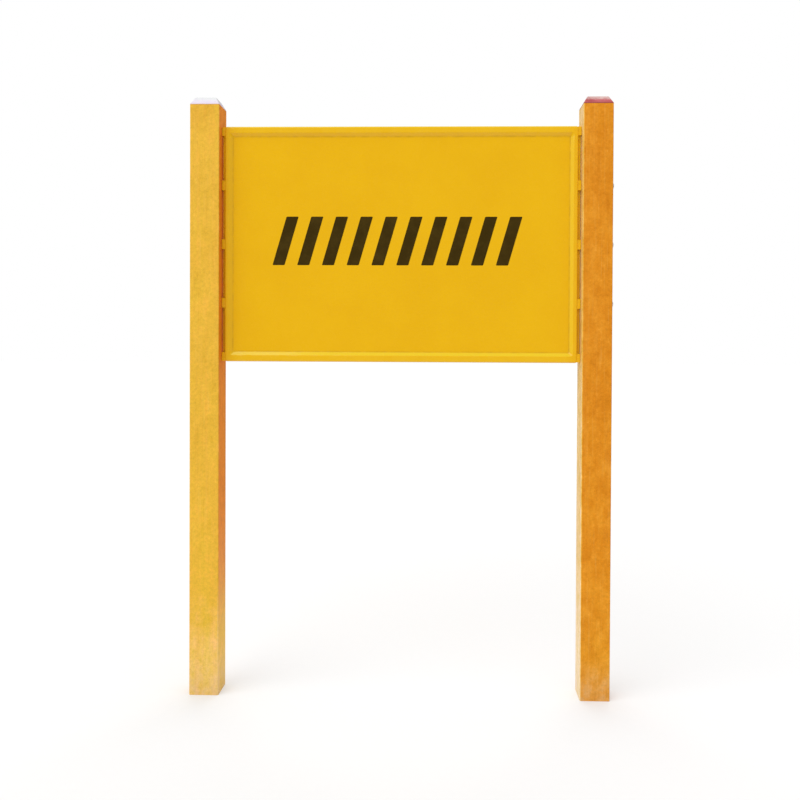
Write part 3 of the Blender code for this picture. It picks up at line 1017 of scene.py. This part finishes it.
@dataclass
class Cap:
    """A moulded plug with a chamfered head, a hollow spigot and three soft fins."""

    side: Side
    slot: str
    seat: float = POST_TOP
    gap: float = 0.0003
    half: float = POST_HALF
    plan_radius: float = 0.003
    land: float = 0.0015
    top: float = round(CAP_TOP - POST_TOP, 6)
    top_half: float = CAP_TOP_HALF
    edge_radius: float = 0.002
    land_radius: float = 0.0007
    rim_radius: float = 0.0003
    wall: float = 0.003
    spigot_half: float = 0.0310
    spigot_hollow: float = 0.0285
    spigot_depth: float = 0.0321
    lead_in: float = 0.0015
    fin_half: float = 0.0332
    fin_thickness: float = 0.0018
    fin_tops: tuple[float, ...] = (-0.006, -0.014, -0.022)
    # The height above the tube at which the hollow starts to narrow, and half its ceiling's width.
    hollow_bend: float = 0.01077
    hollow_top_half: float = 0.02479
    gate_radius: float = 0.003
    gate_depth: float = 0.0003

    def steps(self) -> list[Pair]:
        """The spigot's profile.

        Returns:
            Half widths and heights above the tube's end, from under the head to the hollow's ceiling.
        """
        steps = [(self.spigot_half, self.gap)]
        for fin in self.fin_tops:
            steps += [(self.spigot_half, fin), (self.fin_half, fin),
                      (self.fin_half, fin - self.fin_thickness / 2),
                      (self.spigot_half, fin - 2 * self.fin_thickness)]
        steps += [(self.spigot_half, self.lead_in - self.spigot_depth),
                  (self.spigot_half - self.lead_in, -self.spigot_depth),
                  (self.spigot_hollow, -self.spigot_depth),
                  (self.spigot_hollow, self.hollow_bend),
                  (self.hollow_top_half, self.top - self.wall)]
        return steps

    def build(self, material: bpy.types.Material) -> None:
        """Make the cap.

        Args:
            material: Its finish.
        """
        middle = self.side.post_centre
        low = (middle - self.half, -self.half, self.seat + self.gap)
        high = (middle + self.half, self.half, self.seat + self.land)
        cap = Workpiece.block(self.side.word + "_cap_moulding", low, high)
        cap.pick_edges(lambda a, b: abs(a.z - b.z) > REACH).round_off(self.plan_radius, segments=6)
        cap.pick_faces(lambda centre, normal: normal.z > SQUARE_ON)
        shrink = self.top_half / self.half
        cap.pull((0.0, 0.0, self.top - self.land), (shrink, shrink, 1.0), (middle, 0.0, self.seat))
        cap.pick_faces(lambda centre, normal: normal.z < -SQUARE_ON)
        half, height = self.half, self.gap
        for next_half, next_height in self.steps():
            ratio = next_half / half
            cap.pull((0.0, 0.0, next_height - height), (ratio, ratio, 1.0),
                     (middle, 0.0, self.seat + next_height))
            half, height = next_half, next_height
        cap.pick_edges(lambda a, b: min(a.z, b.z) > self.seat + self.top - REACH)
        cap.round_off(self.edge_radius, segments=5)
        cap.pick_edges(lambda a, b: self.on_level(a, self.land) and self.on_level(b, self.land))
        cap.round_off(self.land_radius, segments=3)
        cap.pick_edges(lambda a, b: self.on_level(a, self.gap) and self.on_level(b, self.gap)
                       and self.at_rim(a) and self.at_rim(b))
        cap.round_off(self.rim_radius, segments=2).leave()
        self.mark_gate(cap)
        cap.hand_over(material, self.slot, (self.side.word + "_cap",))

    def on_level(self, point: Vector, height: float) -> bool:
        """Whether a point lies at a height above the tube's end."""
        return abs(point.z - self.seat - height) < REACH

    def at_rim(self, point: Vector) -> bool:
        """Whether a point lies on the head's outer edge."""
        out = max(abs(point.x - self.side.post_centre), abs(point.y))
        return out > self.half - 1.2 * self.plan_radius

    def mark_gate(self, cap: Workpiece) -> None:
        """Sink the mould's round gate mark into the middle of the head's top.

        Args:
            cap: The cap.
        """
        gate = Workpiece.primitive("gate", bpy.ops.mesh.primitive_cylinder_add, vertices=28,
                                   radius=self.gate_radius, depth=2 * self.gate_depth,
                                   location=(self.side.post_centre, 0.0, self.seat + self.top))
        cap.combine(gate, Joining.CUT)


@dataclass
class PanelTray:
    """One moulded half of the panel: a raised rim, a slope and a recessed field over a ribbed hollow."""

    facing: Facing
    half_width: float = PANEL_HALF_WIDTH
    half_height: float = PANEL_HALF_HEIGHT
    centre_height: float = PANEL_CENTRE
    half_depth: float = PANEL_HALF_DEPTH
    seam: float = PANEL_SEAM
    wall: float = 0.003
    plan_radius: float = PANEL_PLAN_RADIUS
    edge_radius: float = 0.005
    side_rim: float = SIDE_RIM
    end_rim: float = END_RIM
    slope: float = SLOPE
    rim_radius: float = 0.0015
    recess: float = RECESS
    foot_radius: float = 0.0015
    # How much nearer to the panel's edge the slope bends on its inside, where its wall stays even.
    inner_shift: float = 0.00091
    rib: float = 0.003
    rib_columns: int = 5
    rib_rows: int = 3
    root_gap: float = 0.0003
    lug_reach: float = LUG_REACH
    lug_setback: float = 0.0015
    lug_half_height: float = 0.0125
    lug_radius: float = 0.0012
    end_lug_height: float = 0.022
    flange_reach: float = 0.0064
    flange_thickness: float = 0.0012
    flange_radius: float = 0.0004
    # How far the bodies inside end from the seam's face. No two that meet end in one plane.
    column_setback: float = 0.00005
    row_setback: float = 0.00008
    lug_seam_setback: float = 0.00006
    flange_setback: float = 0.00010
    # Where the drill starts within the panel's side edge, and where it ends past it.
    drill_start: float = 0.010
    drill_end: float = 0.030

    def level(self, depth: float) -> float:
        """The Y of a face that lies this far behind the tray's own front."""
        return self.facing.value * (self.half_depth - depth)

    def span(self, setback: float, outer: float) -> Pair:
        """The Y of both ends of a body that ends a setback away from the seam's face, in rising order."""
        inner = self.facing.value * (self.seam + setback)
        return min(inner, outer), max(inner, outer)

    def beside(self, side: Side, reach: float) -> Pair:
        """The lowest and highest X of a body that is rooted in a side wall.

        Args:
            side: The side wall that it is rooted in.
            reach: How far it reaches past the wall's outer face.

        Returns:
            Both places in rising order.
        """
        root = side.value * (self.half_width - self.wall + self.root_gap)
        end = side.value * (self.half_width + reach)
        return min(root, end), max(root, end)

    def carve(self, tray: Workpiece, steps: Sequence[Triple], start: float) -> None:
        """Pull the selected face through a row of insets and depths.

        Args:
            tray: The tray, with a face selected that still has the panel's full outline.
            steps: Side inset, end inset and depth behind the tray's front, in turn.
            start: The face's own depth.
        """
        wide, tall, depth = self.half_width, self.half_height, start
        for side_inset, end_inset, next_depth in steps:
            next_wide, next_tall = self.half_width - side_inset, self.half_height - end_inset
            tray.pull((0.0, -self.facing.value * (next_depth - depth), 0.0),
                      (next_wide / wide, 1.0, next_tall / tall), (0.0, 0.0, self.centre_height))
            wide, tall, depth = next_wide, next_tall, next_depth

    def shell(self) -> Workpiece:
        """Make the hollow moulding without its ribs and lugs.

        Returns:
            The shell.
        """
        face, seam = self.level(0.0), self.facing.value * self.seam
        tray = Workpiece.block(self.facing.word + "_tray",
                               (-self.half_width, min(face, seam), self.centre_height - self.half_height),
                               (self.half_width, max(face, seam), self.centre_height + self.half_height))
        tray.pick_edges(lambda a, b: abs(a.y - b.y) > REACH).round_off(self.plan_radius, segments=6)
        tray.pick_faces(lambda centre, normal: normal.y * self.facing.value > SQUARE_ON)
        foot_side, foot_end = self.side_rim + self.slope, self.end_rim + self.slope
        self.carve(tray, ((self.side_rim, self.end_rim, 0.0), (foot_side, foot_end, self.recess)), 0.0)
        tray.pick_faces(lambda centre, normal: normal.y * self.facing.value < -SQUARE_ON)
        self.carve(tray, ((self.wall, self.wall, self.half_depth - self.seam),
                          (self.wall, self.wall, self.wall),
                          (self.side_rim - self.inner_shift, self.end_rim - self.inner_shift, self.wall),
                          (foot_side - self.inner_shift, foot_end - self.inner_shift,
                           self.recess + self.wall)), self.half_depth - self.seam)
        self.round_loop(tray, 0.0, 0.0, 0.0, self.edge_radius, segments=8)
        self.round_loop(tray, self.side_rim, self.end_rim, 0.0, self.rim_radius, segments=4)
        self.round_loop(tray, foot_side, foot_end, self.recess, self.foot_radius, segments=3)
        return tray.leave()

    def round_loop(self, tray: Workpiece, side_inset: float, end_inset: float, depth: float,
                   radius: float, segments: int) -> None:
        """Round the ring of edges at one inset and depth.

        Args:
            tray: The tray.
            side_inset: The ring's distance from the side edges.
            end_inset: Its distance from the upper and lower edges.
            depth: How far it lies behind the tray's front.
            radius: The rounding's radius.
            segments: How many steps it has.
        """
        level = self.level(depth)
        wide, tall = self.half_width - side_inset, self.half_height - end_inset

        def on_ring(point: Vector) -> bool:
            """Whether a point lies on the ring, its rounded corners included.

            Args:
                point: The point.

            Returns:
                Yes or no.
            """
            out, up = abs(point.x), abs(point.z - self.centre_height)
            near_side = wide - 1.3 * self.plan_radius < out < wide + REACH
            near_end = tall - 1.3 * self.plan_radius < up < tall + REACH
            straight = abs(out - wide) < REACH or abs(up - tall) < REACH
            return abs(point.y - level) < REACH and (straight or (near_side and near_end))

        tray.pick_edges(lambda a, b: on_ring(a) and on_ring(b)).round_off(radius, segments)

    @staticmethod
    def spread(count: int, half: float) -> list[float]:
        """Where evenly spread ribs stand across a width, counted from its middle."""
        return [half * (2 * (index + 1) / (count + 1) - 1) for index in range(count)]

    def ribs(self) -> list[Workpiece]:
        """Make the ribs that stiffen the field from behind.

        Returns:
            Upright and level ribs.
        """
        wide = self.half_width - self.side_rim - self.slope + self.inner_shift
        tall = self.half_height - self.end_rim - self.slope + self.inner_shift
        bedded = self.level(self.recess + self.wall / 2)
        low, high = self.span(self.column_setback, bedded)
        ribs = []
        for middle in self.spread(self.rib_columns, wide):
            ribs.append(Workpiece.block("rib", (middle - self.rib / 2, low, self.centre_height - tall),
                                        (middle + self.rib / 2, high, self.centre_height + tall)))
        low, high = self.span(self.row_setback, bedded)
        for rise in self.spread(self.rib_rows, tall):
            middle = self.centre_height + rise
            ribs.append(Workpiece.block("rib", (-wide, low, middle - self.rib / 2),
                                        (wide, high, middle + self.rib / 2)))
        return ribs

    def lugs(self) -> list[Workpiece]:
        """Make the lugs that bridge the gap to the posts.

        Returns:
            Five lugs to a side, with rounded edges.
        """
        spans = [(height - self.lug_half_height, height + self.lug_half_height)
                 for height in BOLT_HEIGHTS]
        upper = self.centre_height + self.half_height - self.lug_setback
        lower = self.centre_height - self.half_height + self.lug_setback
        spans += [(upper - self.end_lug_height, upper), (lower, lower + self.end_lug_height)]
        near, far = self.span(self.lug_seam_setback, self.level(self.lug_setback))
        lugs = []
        for side in Side:
            start, end = self.beside(side, self.lug_reach)
            for low, high in spans:
                lug = Workpiece.block("lug", (start, near, low), (end, far, high))
                lug.pick_edges(lambda a, b, s=side: min(a.x * s.value, b.x * s.value) > self.half_width
                               and not self.on_seam(a, b))
                lugs.append(lug.round_off(self.lug_radius, segments=3).leave())
        return lugs

    def flanges(self) -> list[Workpiece]:
        """Make the thin glue flanges that run between the lugs, down both side edges.

        Returns:
            One flange to a side.
        """
        tall = self.half_height - self.lug_setback - self.end_lug_height / 2
        near, far = self.span(self.flange_setback,
                              self.facing.value * (self.seam + self.flange_thickness))
        flanges = []
        for side in Side:
            start, end = self.beside(side, self.flange_reach)
            flange = Workpiece.block("flange", (start, near, self.centre_height - tall),
                                     (end, far, self.centre_height + tall))
            flange.pick_edges(lambda a, b, s=side: min(a.x * s.value, b.x * s.value) > self.half_width
                              and not self.on_seam(a, b) and abs(a.z - b.z) > self.half_height)
            flanges.append(flange.round_off(self.flange_radius, segments=2).leave())
        return flanges

    def on_seam(self, start: Vector, end: Vector) -> bool:
        """Whether an edge lies in the face that meets the other tray."""
        return max(abs(start.y), abs(end.y)) < self.seam + self.flange_setback + REACH

    def build(self, material: bpy.types.Material) -> None:
        """Make the tray.

        Args:
            material: Its finish.
        """
        tray = self.shell()
        for part in self.ribs() + self.lugs() + self.flanges():
            tray.combine(part, Joining.FUSE)
        for side in Side:
            tray.drill(HOLE_RADIUS, side.value * (self.half_width - self.drill_start),
                       side.value * (self.half_width + self.drill_end), corners=32)
        tray.hand_over(material, "panel", (self.facing.word + "_panel",))


@dataclass
class GlueLine:
    """The thin ring of glue that holds the two trays together."""

    setback: float = 0.0012
    width: float = 0.0016
    half_thickness: float = 0.00013

    def build(self, material: bpy.types.Material) -> None:
        """Make the ring.

        Args:
            material: Its finish.
        """
        ring = self.slab("glue_line", self.setback, self.half_thickness)
        opening = self.slab("glue_opening", self.setback + self.width, 5 * self.half_thickness)
        ring.combine(opening, Joining.CUT).hand_over(material)

    @staticmethod
    def slab(name: str, inset: float, half_thickness: float) -> Workpiece:
        """Make a slab with rounded corners.

        Args:
            name: What it is called.
            inset: How far it stays inside the panel's outline.
            half_thickness: Half its thickness.

        Returns:
            The slab.
        """
        wide, tall = PANEL_HALF_WIDTH - inset, PANEL_HALF_HEIGHT - inset
        slab = Workpiece.block(name, (-wide, -half_thickness, PANEL_CENTRE - tall),
                               (wide, half_thickness, PANEL_CENTRE + tall))
        slab.pick_edges(lambda a, b: abs(a.y - b.y) > REACH)
        return slab.round_off(PANEL_PLAN_RADIUS - inset, segments=5).leave()


@dataclass
class Fixings:
    """The hexagon bolts and flat washers on both posts' outer faces."""

    heights: tuple[float, ...] = BOLT_HEIGHTS
    washer_face: float = WASHER_FACE
    washer_thickness: float = 0.0016
    washer_radius: float = 0.008
    washer_rounding: float = 0.0003
    bore_radius: float = 0.0043
    gap: float = 0.0003
    head_height: float = 0.0053
    spanner_half: float = 0.0065
    shank_radius: float = 0.004
    shank_length: float = 0.0980
    shank_root: float = 0.002
    tip_chamfer: float = 0.0008
    softening: float = 0.00018
    softened_angle: float = math.radians(24)
    chamfer_angle: float = math.radians(30)

    def bolt(self, side: Side, name: str) -> Workpiece:
        """Make a bolt at the top height.

        Args:
            side: The post that it goes through.
            name: What it is called.

        Returns:
            The bolt.
        """
        out, height = side.value, self.heights[0]
        under = self.washer_face + self.washer_thickness + self.gap
        outer = under + self.head_height
        corner = self.spanner_half / math.cos(math.pi / 6)
        chamfer = (corner - self.spanner_half) * math.tan(self.chamfer_angle) * 2
        face_radius = self.spanner_half - chamfer / 2
        base_radius = face_radius + self.head_height / math.tan(self.chamfer_angle)
        head = Workpiece.round_bar(name, corner, out * under, out * outer, height, corners=6)
        turning = Workpiece.primitive("turning", bpy.ops.mesh.primitive_cone_add, vertices=72,
                                      radius1=base_radius, radius2=face_radius, depth=outer - under,
                                      rotation=(0.0, out * math.pi / 2, 0.0),
                                      location=(out * (under + outer) / 2, 0.0, height))
        head.combine(turning, Joining.KEEP_SHARED)
        tip = under - self.shank_length
        shank = Workpiece.round_bar("shank", self.shank_radius, out * tip,
                                    out * (under + self.shank_root), height, corners=36)
        shank.pick_edges(lambda a, b: max(abs(a.x), abs(b.x)) < tip + REACH)
        shank.round_off(self.tip_chamfer, segments=1).leave()
        head.combine(shank, Joining.FUSE)
        return head.soften(self.softening, segments=2, angle=self.softened_angle)

    def washer(self, side: Side, name: str) -> Workpiece:
        """Turn a washer at the top height from its cross-section.

        Args:
            side: The post that it sits on.
            name: What it is called.

        Returns:
            The washer.
        """
        height = self.heights[0]
        middle = side.value * (self.washer_face + self.washer_thickness / 2)
        band = self.washer_radius - self.bore_radius
        bpy.ops.object.select_all(action="DESELECT")
        bpy.ops.mesh.primitive_plane_add(
            size=1.0, rotation=(math.pi / 2, 0.0, 0.0),
            location=(middle, 0.0, height + (self.washer_radius + self.bore_radius) / 2))
        bpy.context.view_layer.objects.active.scale = (self.washer_thickness, band, 1.0)
        washer = Workpiece(name)
        washer.edit("VERT")
        bpy.ops.mesh.select_all(action="SELECT")
        bpy.ops.mesh.bevel(offset=self.washer_rounding, segments=3, affect="VERTICES")
        bpy.ops.mesh.select_all(action="SELECT")
        bpy.ops.mesh.delete(type="ONLY_FACE")
        bpy.ops.mesh.select_all(action="SELECT")
        bpy.ops.mesh.spin(steps=48, angle=math.tau, center=(middle, 0.0, height), axis=(1.0, 0.0, 0.0))
        return washer.leave()

    def build(self, material: bpy.types.Material) -> None:
        """Make all the bolts and washers, each modelled once to a side and copied.

        Args:
            material: Their finish.
        """
        for side in Side:
            for kind, maker in (("bolt", self.bolt), ("washer", self.washer)):
                stem = side.word + "_" + kind
                first = maker(side, stem + "_plated_1")
                copies = [first.copy(f"{stem}_plated_{number}", (0.0, 0.0, height - self.heights[0]))
                          for number, height in enumerate(self.heights[1:], start=2)]
                for number, piece in enumerate([first, *copies], start=1):
                    piece.hand_over(material, "zinc", (f"{stem}_{number}",))


@dataclass
class HazardBars:
    """A row of slanted bars, cut from dark film and stuck across the middle of the field."""

    count: int = 10
    left: float = -0.328
    right: float = 0.310
    low: float = 1.097
    high: float = 1.221
    width: float = 0.031
    slant: float = 0.036
    corner_radius: float = 0.0022
    edge_radius: float = 0.00006
    field: float = RECESS - PANEL_HALF_DEPTH
    thickness: float = 0.0002
    bedding: float = 0.00004

    def build(self, material: bpy.types.Material) -> None:
        """Make the bars, one modelled and the rest copied.

        Args:
            material: Their finish.
        """
        first = Workpiece.block("hazard_bar_01",
                                (self.left, self.field - self.thickness, self.low),
                                (self.left + self.width, self.field + self.bedding, self.high))
        first.pick_faces(lambda centre, normal: normal.z > SQUARE_ON)
        bpy.ops.transform.translate(value=(self.slant, 0.0, 0.0))
        first.pick_edges(lambda a, b: abs(a.y - b.y) > REACH).round_off(self.corner_radius, segments=4)
        first.pick_edges(lambda a, b: max(a.y, b.y) < self.field - self.thickness + REACH)
        first.round_off(self.edge_radius, segments=1).leave()
        pitch = (self.right - self.left - self.width - self.slant) / (self.count - 1)
        bars = [first] + [first.copy(f"hazard_bar_{index + 1:02d}", (index * pitch, 0.0, 0.0))
                          for index in range(1, self.count)]
        for bar in bars:
            bar.hand_over(material)


@dataclass
class HiddenSteel:
    """The channels, sleeves and nuts inside, which keep their CAD meshes."""

    kinds: tuple[str, ...] = ("channel", "sleeve", "nut")

    def dress(self, material: bpy.types.Material) -> None:
        """Give them their finish.

        Args:
            material: The plating.
        """
        for name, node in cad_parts.items():
            if any(kind in name for kind in self.kinds):
                for slot in node.material_slots:
                    slot.material = material
                LOG.info("%s: CAD mesh, plated", name)


@dataclass(frozen=True)
class StageFinish(Finish):
    """The pale floor: white to the camera but for the sign's soft shadow, and dim far off in gloss."""

    darker: Triple = (0.594, 0.594, 0.594)
    paler: Triple = (0.606, 0.606, 0.606)
    bounce: Triple = (0.72, 0.72, 0.72)
    glow: float = 0.29
    far_gloss: float = 0.12
    fading: Pair = (0.5, 2.8)

    def surface(self, sheet: NodeSheet) -> bpy.types.NodeSocket:
        """Build the floor's shaders.

        Args:
            sheet: The material's node sheet.

        Returns:
            A surface that glows a little for what the camera and reflections see.
        """
        place = sheet.place()
        across, deep_in, _ = sheet.split(place)
        tint = sheet.blend(sheet.noise(place, 60.0, detail=2.0), self.darker, self.paler)
        plain = sheet.add("ShaderNodeBsdfDiffuse", None, {"Color": tint}).outputs[0]
        lit = sheet.add("ShaderNodeAddShader", None, {0: plain, 1: sheet.shine(self.glow)}).outputs[0]
        bounced = sheet.add("ShaderNodeBsdfDiffuse", None, {"Color": self.bounce}).outputs[0]
        shown = sheet.mixed(sheet.seen_directly(), bounced, lit)
        distance = sheet.maths("SQRT", across * across + deep_in * deep_in)
        faded = sheet.ray("Glossy") * distance.rise(*self.fading)
        return sheet.mixed(faded, shown, sheet.shine(self.far_gloss))


@dataclass
class Studio:
    """A white room with a broad soft lamp at the front left and a weaker one straight behind."""

    sky: float = 0.82
    dim_gloss: float = 0.08
    left_card: float = 0.60
    right_card: float = 0.32
    top_card: float = 0.66
    key_strength: float = 1.15
    key_direction: Triple = (-0.54, -0.54, 0.64)
    fill_strength: float = 0.80
    fill_direction: Triple = (0.00, 0.73, 0.68)
    spread: float = math.radians(55)
    side_edge: Pair = (0.40, 0.80)
    top_edge: Pair = (0.30, 0.90)
    lamp_distance: float = 4.0
    floor_size: float = 60.0

    def light_world(self) -> None:
        """Light the room evenly and show it white. Gloss finds a card above and one at each side."""
        world = bpy.data.worlds.new("white_room")
        bpy.context.scene.world = world
        world.use_nodes = True
        world.cycles.sampling_method = "NONE"
        sheet = NodeSheet(world.node_tree)
        across, _, up = sheet.split(sheet.add("ShaderNodeTexCoord").outputs["Generated"])
        bright = ((-across).rise(*self.side_edge) * self.left_card).most(
            across.rise(*self.side_edge) * self.right_card).most(up.rise(*self.top_edge) * self.top_card)
        shown = sheet.ray("Camera").most(self.dim_gloss + bright * (1.0 - self.dim_gloss))
        direct = sheet.seen_directly()
        strength = direct * shown + (1.0 - direct) * self.sky
        light = sheet.add("ShaderNodeBackground", None, {"Color": WHITE, "Strength": strength})
        sheet.add("ShaderNodeOutputWorld", None, {"Surface": light.outputs[0]})

    def hang(self, name: str, strength: float, direction: Triple, in_gloss: bool) -> None:
        """Hang one broad lamp.

        Args:
            name: What it is called.
            strength: Its light.
            direction: Where it hangs, seen from the sign.
            in_gloss: Whether glossy surfaces reflect it.
        """
        data = bpy.data.lights.new(name, "SUN")
        data.energy = strength
        data.angle = self.spread
        lamp = bpy.data.objects.new(name, data)
        bpy.context.scene.collection.objects.link(lamp)
        lamp.rotation_mode = "QUATERNION"
        lamp.rotation_quaternion = Vector(direction).to_track_quat("Z", "Y")
        lamp.location = Vector(direction) * self.lamp_distance
        lamp.visible_glossy = in_gloss

    def lay_floor(self) -> None:
        """Lay the floor."""
        bpy.ops.object.select_all(action="DESELECT")
        bpy.ops.mesh.primitive_plane_add(size=self.floor_size, location=(0.0, 0.0, 0.0))
        floor = bpy.context.view_layer.objects.active
        floor.name = "floor"
        floor.data.materials.append(StageFinish("pale_floor").material())

    def build(self) -> None:
        """Set up the room, its lamps and the plain colour view."""
        self.light_world()
        self.hang("soft_key", self.key_strength, self.key_direction, True)
        self.hang("soft_fill", self.fill_strength, self.fill_direction, False)
        self.lay_floor()
        bpy.context.scene.view_settings.view_transform = "Standard"


@dataclass
class PhotoCamera:
    """The camera at the photograph's viewing angle."""

    place: Triple = (0.100, -2.200, 0.907)
    yaw: float = math.radians(1.557)
    pitch: float = math.radians(-0.675)
    roll: float = math.radians(0.265)
    focal_pixels: float = 859.4
    centre: Pair = (415.8, 350.0)
    image: float = 800.0
    sensor: float = 36.0

    def axes(self) -> tuple[Vector, Vector, Vector]:
        """Where the camera looks.

        Returns:
            Its right, up and forward directions.
        """
        forward = Vector((-math.sin(self.yaw) * math.cos(self.pitch),
                          math.cos(self.yaw) * math.cos(self.pitch), math.sin(self.pitch)))
        level = Vector((math.cos(self.yaw), math.sin(self.yaw), 0.0))
        upright = level.cross(forward)
        right = level * math.cos(self.roll) + upright * math.sin(self.roll)
        up = upright * math.cos(self.roll) - level * math.sin(self.roll)
        return right, up, forward

    def build(self) -> None:
        """Set the camera up."""
        data = bpy.data.cameras.new("photo_camera")
        data.sensor_width = self.sensor
        data.lens = self.focal_pixels * self.sensor / self.image
        data.shift_x = (self.image / 2 - self.centre[0]) / self.image
        data.shift_y = (self.centre[1] - self.image / 2) / self.image
        camera = bpy.data.objects.new("photo_camera", data)
        bpy.context.scene.collection.objects.link(camera)
        right, up, forward = self.axes()
        turned = Matrix((right, up, -forward)).transposed().to_4x4()
        camera.matrix_world = Matrix.Translation(Vector(self.place)) @ turned
        bpy.context.scene.camera = camera


def main() -> None:
    """Build the sign's pieces in order, then the camera and the studio, and log each piece's face count.
    """
    logging.basicConfig(level=logging.INFO, format="%(message)s")
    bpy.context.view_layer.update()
    zinc = ZincFinish("zinc_plating").material()
    gel_coat = GelCoatFinish("yellow_gel_coat").material()
    # The two posts are lit and shaded versions of one fibreglass. The left one's front is painted paler
    # and its inner face darker, as if lit from the front left. The right one's front is painted darker
    # and its inner face pale, as a painted reflection.
    fibreglass = {
        Side.LEFT: FibreglassFinish("left_fibreglass", front_light=0.98, inner_light=0.08,
                                    foot_bounce_light=1.12, front_bounce_light=0.34, outer_light=0.80,
                                    rear_light=0.60, mottling=0.60, banding=0.42,
                                    sheen=0.20).material(),
        Side.RIGHT: FibreglassFinish("right_fibreglass", deep=(0.705, 0.238, 0.008),
                                     glow=(1.05, 1.09, 1.75), ochre=(0.94, 0.92, 0.55),
                                     palest_lit_colour=(0.900, 0.740, 0.520), palest_lit_range=(0.70, 2.20),
                                     inwards=-1.0, front_light=0.06, inner_light=1.45,
                                     foot_bounce_light=0.60, front_bounce_light=0.16, outer_light=0.10,
                                     sheen=0.10, panel_shading=0.15).material(),
    }
    white = MouldedPlasticFinish("white_cap_plastic", colour=(0.76, 0.68, 0.82),
                                 faded=(0.82, 0.77, 0.85), pale_edge=(0.77, 0.80, 0.78),
                                 foot_tint=(0.78, 0.52, 0.56)).material()
    red = MouldedPlasticFinish("red_cap_plastic", colour=(0.42, 0.050, 0.060),
                               faded=(0.56, 0.120, 0.135), pale_edge=(0.70, 0.50, 0.46),
                               foot_tint=(0.24, 0.040, 0.035)).material()
    for side in Side:
        Post(side).build(fibreglass[side])
    Cap(Side.LEFT, "white_cap").build(white)
    Cap(Side.RIGHT, "red_cap").build(red)
    for facing in Facing:
        PanelTray(facing).build(gel_coat)
    GlueLine().build(SealantFinish("glue").material())
    Fixings().build(zinc)
    HazardBars().build(FilmFinish("dark_film").material())
    HiddenSteel().dress(zinc)
    PhotoCamera().build()
    Studio().build()


if __name__ == "__main__":
    main()
